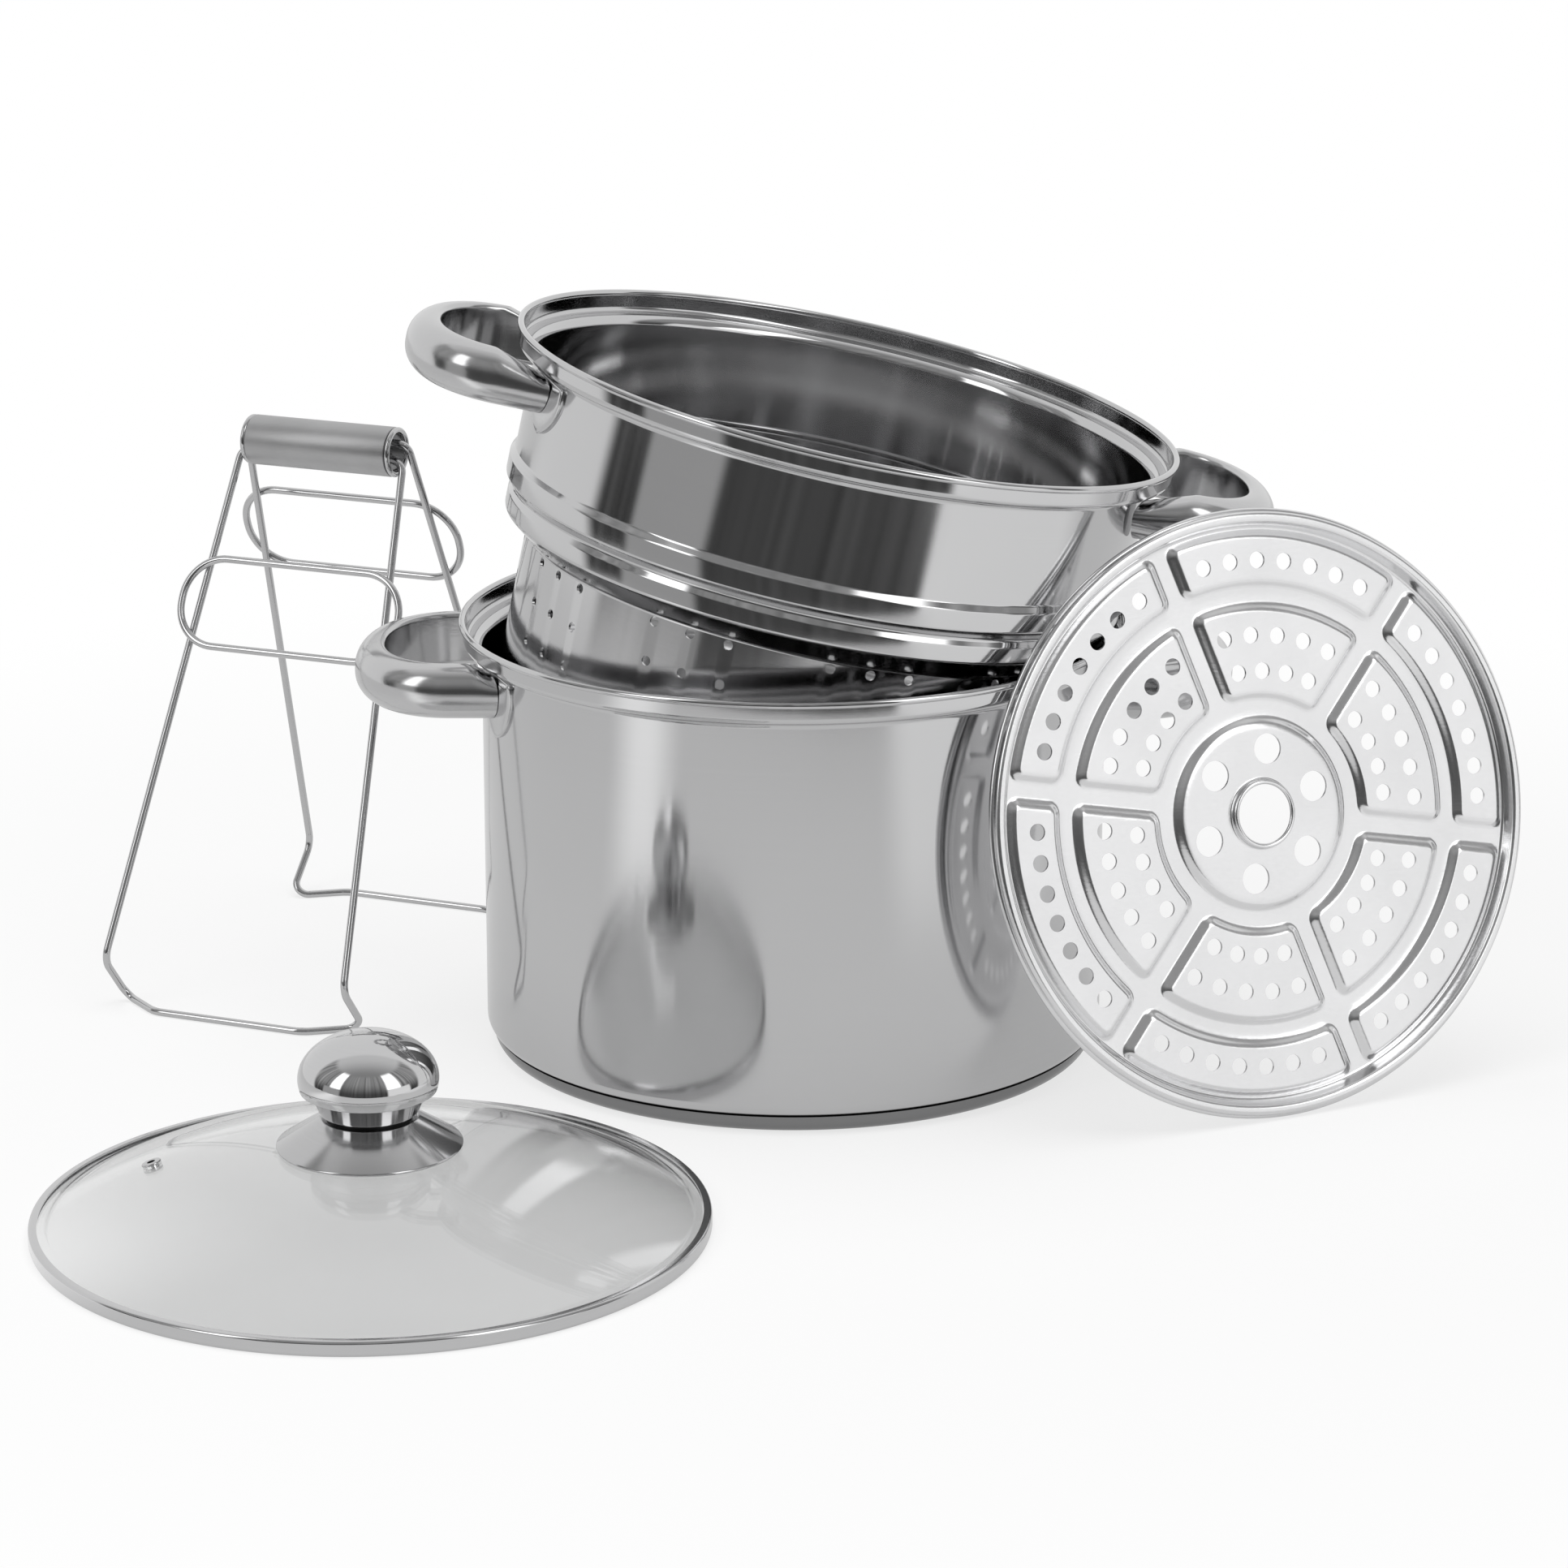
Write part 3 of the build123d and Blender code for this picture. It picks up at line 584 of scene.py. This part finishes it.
def makeLid():
    s = lid
    edge = s["radius"] - s["bandSheet"] - s["fit"]
    low = s["bandSheet"] + s["fit"]
    domeEdge = edge - s["flange"]
    domeLow = s["dome"] - s["glass"]
    rise = domeLow - low
    domeRadius = (domeEdge ** 2 + rise ** 2) / (2 * rise)
    centre = domeLow - domeRadius
    shell = domeRadius + s["glass"]
    shellEdge = sqrt(shell ** 2 - (low + s["glass"] - centre) ** 2)
    hole = s["screw"] + s["fit"]
    under = arcPoints((0, centre), domeRadius, 90 - degrees(asin(hole / domeRadius)),
                      90 - degrees(asin(domeEdge / domeRadius)), s["domeSteps"])
    over = arcPoints((0, centre), shell, 90 - degrees(asin(shellEdge / shell)),
                     90 - degrees(asin(hole / shell)), s["domeSteps"])
    rim = roundedPath([under[-1], (edge, low), (edge, low + s["glass"]), over[0]], [s["paneRound"]] * 2, 15)
    pane = finishMesh(spunMesh(under[:-1] + rim + over[1:], s["paneTurn"], closed=True), "lidPane", "lidGlass")
    out = Vector((cos(radians(s["ventAngle"])), sin(radians(s["ventAngle"])), 0))
    lean = asin(s["ventOffset"] / shell)
    normal = out * sin(lean) + Vector((0, 0, cos(lean)))
    spot = Vector((0, 0, centre)) + normal * shell
    ventPlace = shifted(*spot) @ normal.to_track_quat("Z", "Y").to_matrix().to_4x4()
    cutHoles(pane, drills([ventPlace], s["ventTube"] + s["fit"], s["drill"], 32))
    pane.data.set_sharp_from_angle(angle=radians(s["sharp"]))
    pane.data.transform(lidPlace)
    stand(pane, "lid", "lid_glass")

    bandHeight = 2 * s["bandSheet"] + s["glass"] + 2 * s["fit"]
    outside = roundedPath([(s["radius"] - s["bandLip"], 0), (s["radius"], 0), (s["radius"], bandHeight),
                           (s["radius"] - s["bandLip"], bandHeight)], [s["bandBend"]] * 2, 12)
    inside = besidePath(outside, s["bandSheet"])
    spunPiece("lidBand", outside + inside[::-1], s["bandTurn"], "bandSteel", "lid", "lid_rim_band",
              lidPlace, closed=True)

    domeTop = centre + sqrt(shell ** 2 - s["coneRadius"] ** 2)
    flare = roundedPath([(hole, s["coneTop"]), (s["coneNeck"], s["coneTop"]),
                         (s["coneRadius"] - s["coneSheet"] / 2, domeTop + s["coneSheet"] + s["fit"])],
                        [s["coneBend"]], 5)
    below = besidePath(flare, -s["coneSheet"])
    edgeMiddle = (flare[-1] + below[-1]) / 2
    ahead = (flare[-1] - flare[-2]).normalized()
    outer, onward = flare[-1] - edgeMiddle, ahead * s["coneSheet"] / 2
    lip = [edgeMiddle + outer * cos(radians(a)) + onward * sin(radians(a)) for a in (30, 60, 90, 120, 150)]
    spunPiece("lidEscutcheon", flare + lip + below[::-1], s["coneTurn"], "spunSteel", "lid", "lid_escutcheon",
              lidPlace, closed=True)

    neckTop = s["coneTop"] + s["neck"]
    footTop = neckTop + s["foot"]
    lipTop = footTop + s["lip"]
    lowAngle = degrees(asin((lipTop - s["knobCentre"]) / s["knobRise"]))
    ball = [Vector((s["knobRadius"] * cos(radians(a)), s["knobCentre"] + s["knobRise"] * sin(radians(a))))
            for a in [90 - (90 - lowAngle) * i / s["ballSteps"] for i in range(s["ballSteps"] + 1)]]
    foot = roundedPath([ball[-1], (s["lipRadius"], lipTop), (s["lipRadius"], footTop),
                        (s["ringRadius"], footTop), (s["footRadius"], neckTop),
                        (s["neckRadius"], neckTop), (s["neckRadius"], s["coneTop"])],
                       s["footBends"], s["footArc"])
    knob = spunPiece("lidKnob", ball[:-1] + foot + [(0, s["coneTop"])], s["knobTurn"], "knobSteel", "lid",
                     "lid_knob", lidPlace, sharp=s["knobSharp"])
    # the neck below the knob's foot takes the near-black finish, painted shade in the gap over the escutcheon
    knob.data.materials.append(finishes["neckPaintedShade"])
    for polygon in knob.data.polygons:
        if polygon.center.z < (neckTop - s["paintedShadeEdge"]) * mm:
            polygon.material_index = 1

    above, beneath = s["fit"], -s["glass"] - s["fit"]
    eyelet = roundedPath([(s["ventBore"], above + s["ventLip"]), (s["ventRadius"], above + s["ventLip"]),
                          (s["ventRadius"], above), (s["ventTube"], above), (s["ventTube"], beneath),
                          (s["ventRadius"], beneath), (s["ventRadius"], beneath - s["ventLip"]),
                          (s["ventBore"], beneath - s["ventLip"])], s["ventBends"], 20)
    eyeletMesh = spunMesh(eyelet, s["ventTurn"], closed=True)
    vent = finishMesh(eyeletMesh, "lidVent", "fittingSteel", lidPlace @ ventPlace)
    stand(vent, "lid", "lid_vent_eyelet")
    print("lid made")


makeLid()

# Base core, lid fittings and tong caps keep the drawn form, with their faces merged and smoothed
fitting = {"merge": 1e-6, "flat": 0.3, "sharp": 28}


def smoothNode(name, node, body, finish):
    bm = bmesh.new()
    bm.from_mesh(bpy.data.objects[node].data)
    bmesh.ops.remove_doubles(bm, verts=bm.verts, dist=fitting["merge"])
    bmesh.ops.dissolve_limit(bm, angle_limit=radians(fitting["flat"]), verts=bm.verts, edges=bm.edges)
    piece = finishMesh(bm, name, finish, None, fitting["sharp"])
    stand(piece, body, node)


smoothNode("potBaseCore", "pot_base_core", "pot", "fittingSteel")
for part in ("screw", "washer"):
    smoothNode(f"lid{part.title()}", f"lid_{part}", "lid", "fittingSteel")
for side in ("left", "right"):
    smoothNode(f"tongsCap{side.title()}", f"tongs_cap_{side}", "tongs_handle", "wireSteel")
print("fittings made")

# Steamer plate: spun flat, then its fields are raised with soft edges and its holes are punched
plate = {"place": (177.0, -74.3), "turn": 26.0, "lean": 13.5, "roll": -12.0, "radius": 114.5,
         "sheet": 1.0, "skirt": 5.0, "bead": 1.3, "bend": 1.6, "fold": 0.8, "land": 5.0, "web": -5.0,
         "rise": 2.0, "slope": 3.6, "fields": 6, "curl": 0.95, "rib": 2.8, "corner": 5.0,
         "rings": ((84.5, 107.0), (42.5, 79.5)), "boss": 37.0, "centre": 24.0, "collar": 2.0,
         "holeRows": ((95.0, 7, 7.0), (67.0, 5, 9.8), (53.5, 4, 11.0)), "hole": 6.4,
         "bossHole": 11.5, "bossHoleRing": 24.5, "steps": 288, "crowd": 0.35, "drill": 12, "sharp": 50,
         "beadArc": (80, -250), "fine": 0.6, "coarse": 2.4, "past": 1.0, "over": 0.5}


def fieldDepth(radius, angle):
    # how far inside the nearest field's rounded outline a point lies, in millimetres
    s = plate
    step = 360 / s["fields"]
    off = abs((angle + step / 2) % step - step / 2)
    side = radius * sin(radians(min(off, 90))) - s["rib"]
    best = s["boss"] - radius
    for inner, outer in s["rings"]:
        level = min(radius - inner, outer - radius)
        nearLevel, nearSide = s["corner"] - level, s["corner"] - side
        corner = hypot(max(nearLevel, 0), max(nearSide, 0)) + min(max(nearLevel, nearSide), 0)
        best = max(best, s["corner"] - corner)
    return best


def stations(low, high, edges):
    # radii from low to high, close together beside the edges of the fields
    radii = []
    fine, coarse = plate["fine"], plate["coarse"]
    at = low + fine
    while at < high - fine / 2:
        radii.append(at)
        near = any(first - fine <= at < last for first, last in edges)
        at += fine if near else coarse
    return radii


def makePlate():
    s = plate
    turn, lean = radians(s["turn"]), radians(s["lean"])
    face = Vector((sin(turn) * cos(lean), -cos(turn) * cos(lean), sin(lean)))
    skirtRadius, skirtHeight = s["radius"] - s["bead"], s["bead"] - s["skirt"]
    height = skirtRadius * cos(lean) - skirtHeight * sin(lean) + s["bead"]
    flat = Vector((cos(turn), sin(turn), 0))
    place = shifted(*s["place"], height) @ Matrix(
        (flat, face.cross(flat), face)).transposed().to_4x4() @ Matrix.Rotation(radians(s["roll"]), 4, "Z")
    boss, land = s["web"] + s["rise"], s["radius"] - s["land"]
    collar = s["centre"] / 2 + s["sheet"]
    edge = s["boss"] - s["slope"]
    inside = roundedPath([(collar, boss + s["collar"]), (collar, boss), (edge, boss)], [s["fold"]], 15)
    rim = roundedPath([(s["boss"], s["web"]), (land - s["rise"], s["web"]), (land, 0), (skirtRadius, 0),
                       (skirtRadius, skirtHeight)], [s["bend"]] * 3, 10)
    soft = s["corner"] + s["slope"]
    edges = [(s["boss"] - s["slope"], s["boss"])] + [
        zone for inner, outer in s["rings"] for zone in ((inner, inner + soft), (outer - soft, outer))]
    middle = [Vector((r, boss if r < edge else s["web"]))
              for r in stations(inside[-2].x, rim[1].x, edges)]
    curl = arcPoints((collar - s["curl"], boss + s["collar"]), s["curl"], 180, 0, 12)
    over = curl[:-1] + inside[:-1] + middle + rim[1:]
    under = besidePath(inside, -s["sheet"])[:-1] + [p - Vector((0, s["sheet"])) for p in middle] + \
        besidePath(rim, -s["sheet"])[1:]
    bead = arcPoints((skirtRadius, skirtHeight), s["bead"], *s["beadArc"], 20)
    bm = spunMesh(over[:-1] + bead + under[-2::-1], s["steps"], closed=True)
    low, high = middle[0].x, middle[-1].x
    for vert in bm.verts:
        radius = hypot(vert.co.x, vert.co.y) / mm
        share = atan2(vert.co.y, vert.co.x) * s["fields"] / (2 * pi)
        sector = round(share)
        share -= sector
        share = s["crowd"] * share + (1 - s["crowd"]) * 4 * share ** 3
        angle = 2 * pi * (sector + share) / s["fields"]
        depth = min(max(fieldDepth(radius, degrees(angle)) / s["slope"], 0), 1)
        lift = s["rise"] * depth * depth * (3 - 2 * depth)
        vert.co.x, vert.co.y = radius * cos(angle) * mm, radius * sin(angle) * mm
        if edge < radius < high + s["past"] and vert.co.z < (s["web"] + s["over"]) * mm:
            vert.co.z += lift * mm
        elif low <= radius <= edge and depth < 1:
            vert.co.z += (lift - s["rise"]) * mm
    piece = finishMesh(bm, "steamerPlate", "plateSteel", None, s["sharp"])
    step = 360 / s["fields"]
    places = []
    for ring, count, pitch in s["holeRows"]:
        for field in range(s["fields"]):
            for i in range(count):
                angle = radians((field + 0.5) * step + pitch * (i - (count - 1) / 2))
                places.append(polar(ring, angle, s["web"]))
    cutHoles(piece, drills(places, s["hole"] / 2, s["drill"]))
    places = [polar(s["bossHoleRing"], radians((field + 0.5) * step), s["web"])
              for field in range(s["fields"])]
    cutHoles(piece, drills(places, s["bossHole"] / 2, s["drill"], 32))
    piece.data.set_sharp_from_angle(angle=radians(s["sharp"]))
    piece.data.transform(place)
    stand(piece, "plate", "steamer_plate")
    print("plate made")


makePlate()

# Wire tongs: a tube handle, two bent wire frames and their finger rings
tongs = {"place": (-188.0, 95.0), "turn": -22.0, "tube": 10.0, "length": 62.0, "wall": 0.8,
         "wire": 3.0, "pivotOffset": 3.8, "pivotAngle": 58.0, "backSpread": 21.5,
         "halfTop": 36.0, "halfBend": 45.0, "halfFoot": 53.0, "bendReach": 112.0, "kneeReach": 213.0,
         "footReach": 223.0, "footHook": 24.2, "toeHalf": 33.0, "toeBow": 14.0,
         "bends": (5.0, 60.0, 8.0, 5.0, 12.0), "weld": 0.05,
         "ringLength": 48.0, "ringHeight": 18.0, "ringEnd": 17.0, "frontRing": 65.0, "backRing": 49.0,
         "tubeEdge": 0.35, "tubeTurn": 96, "wireSides": 20, "arcStep": 6}


def makeTongs():
    s = tongs
    pivot = radians(s["pivotAngle"])
    reach, lift = s["pivotOffset"] * cos(pivot), s["pivotOffset"] * sin(pivot)
    footLength = hypot(s["footReach"], s["footHook"])
    footAngle = atan2(s["footHook"], s["footReach"])
    height = footLength * cos(radians(s["backSpread"]) - footAngle) + s["wire"] / 2 - lift
    frontFall = height - lift - s["wire"] / 2
    frontSpread = degrees(footAngle + acos(frontFall / footLength))
    handlePlace = shifted(*s["place"], height) @ Matrix.Rotation(radians(s["turn"]), 4, "Z")

    half, inner = s["length"] / 2, s["tube"] - s["wall"]
    tubeProfile = roundedPath([(inner, -half), (s["tube"], -half), (s["tube"], half), (inner, half)],
                              [s["tubeEdge"]] * 2, 30)
    tube = spunMesh(tubeProfile, s["tubeTurn"], closed=True)
    along = handlePlace @ Matrix.Rotation(pi / 2, 4, "Y")
    piece = finishMesh(tube, "tongsTube", "tubeSteel", along)
    stand(piece, "tongs_handle", "tongs_tube")

    wireSection = roundSection(s["wire"] / 2 * mm, s["wireSides"])
    for side, halfTurn, sideLift, spread, ringReach in (
            ("front", 0, -lift, frontSpread, s["frontRing"]),
            ("back", pi, lift, s["backSpread"], s["backRing"])):
        place = handlePlace @ Matrix.Rotation(halfTurn, 4, "Z") @ shifted(0, -reach, sideLift)
        swing = radians(spread)
        # the leg plane: x along the handle, y down the leg, z to the outside
        down = Vector((0, -sin(swing), -cos(swing)))
        leg = Matrix((Vector((1, 0, 0)), down, Vector((1, 0, 0)).cross(down))).transposed().to_4x4()
        bowReach = s["footReach"] + s["toeBow"] * sin(swing)
        bowHook = s["footHook"] - s["toeBow"] * cos(swing)
        corners = [(s["halfTop"], 0, 0), (s["halfBend"], s["bendReach"], 0),
                   (s["halfFoot"], s["kneeReach"], 0), (s["halfFoot"], s["footReach"], s["footHook"]),
                   (s["toeHalf"], bowReach, bowHook)]
        corners = [(0, 0, 0)] + corners + [(-x, y, z) for x, y, z in corners[::-1]] + [(0, 0, 0)]
        route = roundedPath(corners, s["bends"] + s["bends"][::-1], s["arcStep"])
        wide, near, far = s["ringLength"], ringReach - s["ringHeight"], ringReach + s["ringHeight"]
        corners = [(x, y, -s["wire"] - s["weld"]) for x, y in
                   ((0, near), (wide, near), (wide, far), (-wide, far), (-wide, near), (0, near))]
        loop = roundedPath(corners, [s["ringEnd"]] * 4, s["arcStep"])
        for part, line in (("frame", route), ("ring", loop)):
            wire = sweptMesh([p * mm for p in line[:-1]], wireSection, closed=True)
            piece = finishMesh(wire, f"tongs{part.title()}{side.title()}", "wireSteel", place @ leg)
            stand(piece, f"tongs_{side}", f"tongs_{part}_{side}")
    print("tongs made")


makeTongs()

# Studio: a white table that keeps a faint shadow, and soft panels round a dark room
studio = {"front": (-0.72, -0.68, -0.57), "corner": 0.33, "back": 3.2, "half": 2.6, "keep": 0.26,
          "fade": (0.25, 0.75), "tableTone": 0.85, "dim": 0.2, "horizon": 0.1, "aim": (0, 0, 0.1),
          "lamps": (("skyLight", (0.0, -0.1, 1.9), 1.6, 30), ("sideLight", (-1.3, -0.9, 1.3), 0.9, 9))}
# what the steel sees on the table: paler patches, as degrees to the right and metres out
patches = {"Left Patch": (-58, -42), "Right Patch": (33, 90), "soft": 7, "reach": (0.26, 0.42)}
# and round it, in degrees to the right and heights from level, nought, to overhead, one
room = {"Left Low": ((-73, -43), (-62, -43)), "Right Low": ((36, 76), (36, 60)), "dark": (-42, 32), "soft": 2,
        "boxBottom": (0.22, 0.30), "wallRise": (0.0, 0.5), "darkRise": (0.0, 0.7), "ceiling": (0.79, 0.87),
        "ceilingTurn": (-0.5, 0.25), "backdropLean": -0.3, "backdrop": (-0.04, 0.08),
        "streakScale": 0.22, "streakDetail": 3.0, "streakTone": 2.0}


def roomGroup():
    # the brightness that the polished steel finds in each direction round the set
    tree, given, leave = valueGroup(
        "studioRoom",
        {"Direction": None, "Backdrop": 0.86, "Ceiling Front": 0.30, "Ceiling Back": 0.72,
         "Dark Low": 0.075, "Dark High": 0.34, "Wall Low": 0.06, "Wall High": 0.36, "Boxes": 2.2,
         "Left Low": 0.42, "Right Low": 1.0},
        ("Brightness",))
    turn, y, z = azimuth(tree, given["Direction"])
    streak = add(tree, "TexNoise", noise_dimensions="1D", inputs={
        "W": turn, "Scale": room["streakScale"], "Detail": room["streakDetail"]})["Fac"]
    bars = math(tree, "MULTIPLY", streak, room["streakTone"])
    walls, dark = [math(tree, "MULTIPLY", blend(tree, given[f"{part} Low"], given[f"{part} High"],
                                                rise(tree, z, *room[f"{part.lower()}Rise"])), bars)
                   for part in ("Wall", "Dark")]
    level = blend(tree, walls, dark, band(tree, turn, *room["dark"], room["soft"]))
    bottom, top = room["boxBottom"]
    low, high = rise(tree, z, top, bottom), rise(tree, z, bottom, top)
    for side in ("Left Low", "Right Low"):
        wide, narrow = [band(tree, turn, *edges, room["soft"]) for edges in room[side]]
        level = blend(tree, level, given[side], math(tree, "MULTIPLY", wide, low))
        level = blend(tree, level, given["Boxes"], math(tree, "MULTIPLY", narrow, high))
    ceiling = blend(tree, given["Ceiling Front"], given["Ceiling Back"], rise(tree, y, *room["ceilingTurn"]))
    level = blend(tree, level, ceiling, rise(tree, z, *room["ceiling"]))
    behind = math(tree, "ADD", y, math(tree, "MULTIPLY", z, room["backdropLean"]))
    level = blend(tree, level, given["Backdrop"], rise(tree, behind, *room["backdrop"]))
    fill(tree, leave, {"Brightness": level})
    return tree


def tableGroup():
    # what the polished steel finds on the table: paler patches where the soft boxes shine on it
    tree, given, leave = valueGroup(
        "studioTable", {"Place": None, "Plain": 0.70, "Left Patch": 1.15, "Right Patch": 0.95},
        ("Brightness",))
    turn = azimuth(tree, given["Place"])[0]
    outward = rise(tree, length(tree, given["Place"]), *patches["reach"])
    level = given["Plain"]
    for side in ("Left Patch", "Right Patch"):
        patch = math(tree, "MULTIPLY", band(tree, turn, *patches[side], patches["soft"]), outward)
        level = blend(tree, level, given[side], patch)
    fill(tree, leave, {"Brightness": level})
    return tree


def tableMaterial():
    # white to the camera with a share of real shading, and dimmer in the steel than to the eye
    material, tree = freshMaterial("tableWhite")
    tree.nodes.remove(tree.nodes["Principled BSDF"])
    place = add(tree, "TexCoord")["Object"]
    mirrored = add(tree, "Group", node_tree=tableGroup(), inputs={"Place": place})["Brightness"]
    path = add(tree, "LightPath")
    glow = add(tree, "Emission", {"Color": (1, 1, 1, 1),
                                  "Strength": blend(tree, 1.0, mirrored, path["Is Glossy Ray"])})[0]
    lit = add(tree, "BsdfDiffuse", {"Color": (*[studio["tableTone"]] * 3, 1)})[0]
    seen = math(tree, "MAXIMUM", math(tree, "MAXIMUM", path["Is Camera Ray"], path["Is Glossy Ray"]),
                path["Is Transmission Ray"])
    plain = blend(tree, 1 - studio["keep"], 1.0, rise(tree, length(tree, place), *studio["fade"]))
    shown = mixed(tree, math(tree, "MULTIPLY", seen, plain), lit, glow)
    fill(tree, tree.nodes["Material Output"], {"Surface": shown})
    return material


def makeTable():
    s = studio
    left, middle, right = s["front"]
    bm = bmesh.new()
    corners = [(-s["half"], left, 0), (0, middle, 0), (s["corner"], right, 0),
               (s["half"], right, 0), (s["half"], s["back"], 0), (-s["half"], s["back"], 0)]
    bm.faces.new([bm.verts.new(corner) for corner in corners])
    mesh = bpy.data.meshes.new("table")
    bm.to_mesh(mesh)
    bm.free()
    mesh.materials.append(tableMaterial())
    placed("table", mesh)


def makeLamps():
    for name, place, size, energy in studio["lamps"]:
        lamp = bpy.data.lights.new(name, "AREA")
        lamp.shape = "SQUARE"
        lamp.size = size
        lamp.energy = energy
        light = placed(name, lamp)
        light.location = place
        light.rotation_euler = (Vector(studio["aim"]) - Vector(place)).to_track_quat("-Z", "Y").to_euler()
        light.visible_glossy = False
        light.visible_transmission = False


def makeWorld():
    # white to the camera, dim as light, and the room to whatever mirrors or bends it
    world = bpy.data.worlds.new("studio")
    bpy.context.scene.world = world
    world.use_nodes = True
    tree = world.node_tree
    white = tree.nodes["Background"]
    fill(tree, white, {"Color": (1, 1, 1, 1)})
    direction = add(tree, "TexCoord")["Generated"]
    bright = add(tree, "Group", node_tree=roomGroup(), inputs={"Direction": direction})["Brightness"]
    around = add(tree, "Background", {"Color": (1, 1, 1, 1), "Strength": bright})[0]
    dim = add(tree, "Background", {"Color": (*[studio["dim"]] * 3, 1)})[0]
    path = add(tree, "LightPath")
    height = add(tree, "SeparateXYZ", {0: direction})[2]
    through = math(tree, "MULTIPLY", path["Is Transmission Ray"],
                   math(tree, "LESS_THAN", height, studio["horizon"]))
    seen = math(tree, "MAXIMUM", path["Is Camera Ray"], through)
    mirrored = math(tree, "MAXIMUM", path["Is Glossy Ray"], path["Is Transmission Ray"])
    shiny = mixed(tree, mirrored, dim, around)
    fill(tree, tree.nodes["World Output"], {"Surface": mixed(tree, seen, shiny, white.outputs[0])})


makeTable()
makeLamps()
makeWorld()

# Camera, as the photograph was taken
view = {"place": (6.857, -1956.2, 677.0), "yaw": -0.0054, "pitch": 0.286, "lens": 120.52,
        "sensor": 36, "near": 0.05}
lens = bpy.data.cameras.new("camera")
lens.lens = view["lens"]
lens.sensor_width = view["sensor"]
lens.clip_start = view["near"]
camera = placed("camera", lens)
camera.location = Vector(view["place"]) * mm
flat = cos(view["pitch"])
ahead = Vector((sin(view["yaw"]) * flat, cos(view["yaw"]) * flat, -sin(view["pitch"])))
camera.rotation_euler = ahead.to_track_quat("-Z", "Y").to_euler()
bpy.context.scene.camera = camera
bpy.context.scene.view_settings.view_transform = "Standard"
print("studio ready")
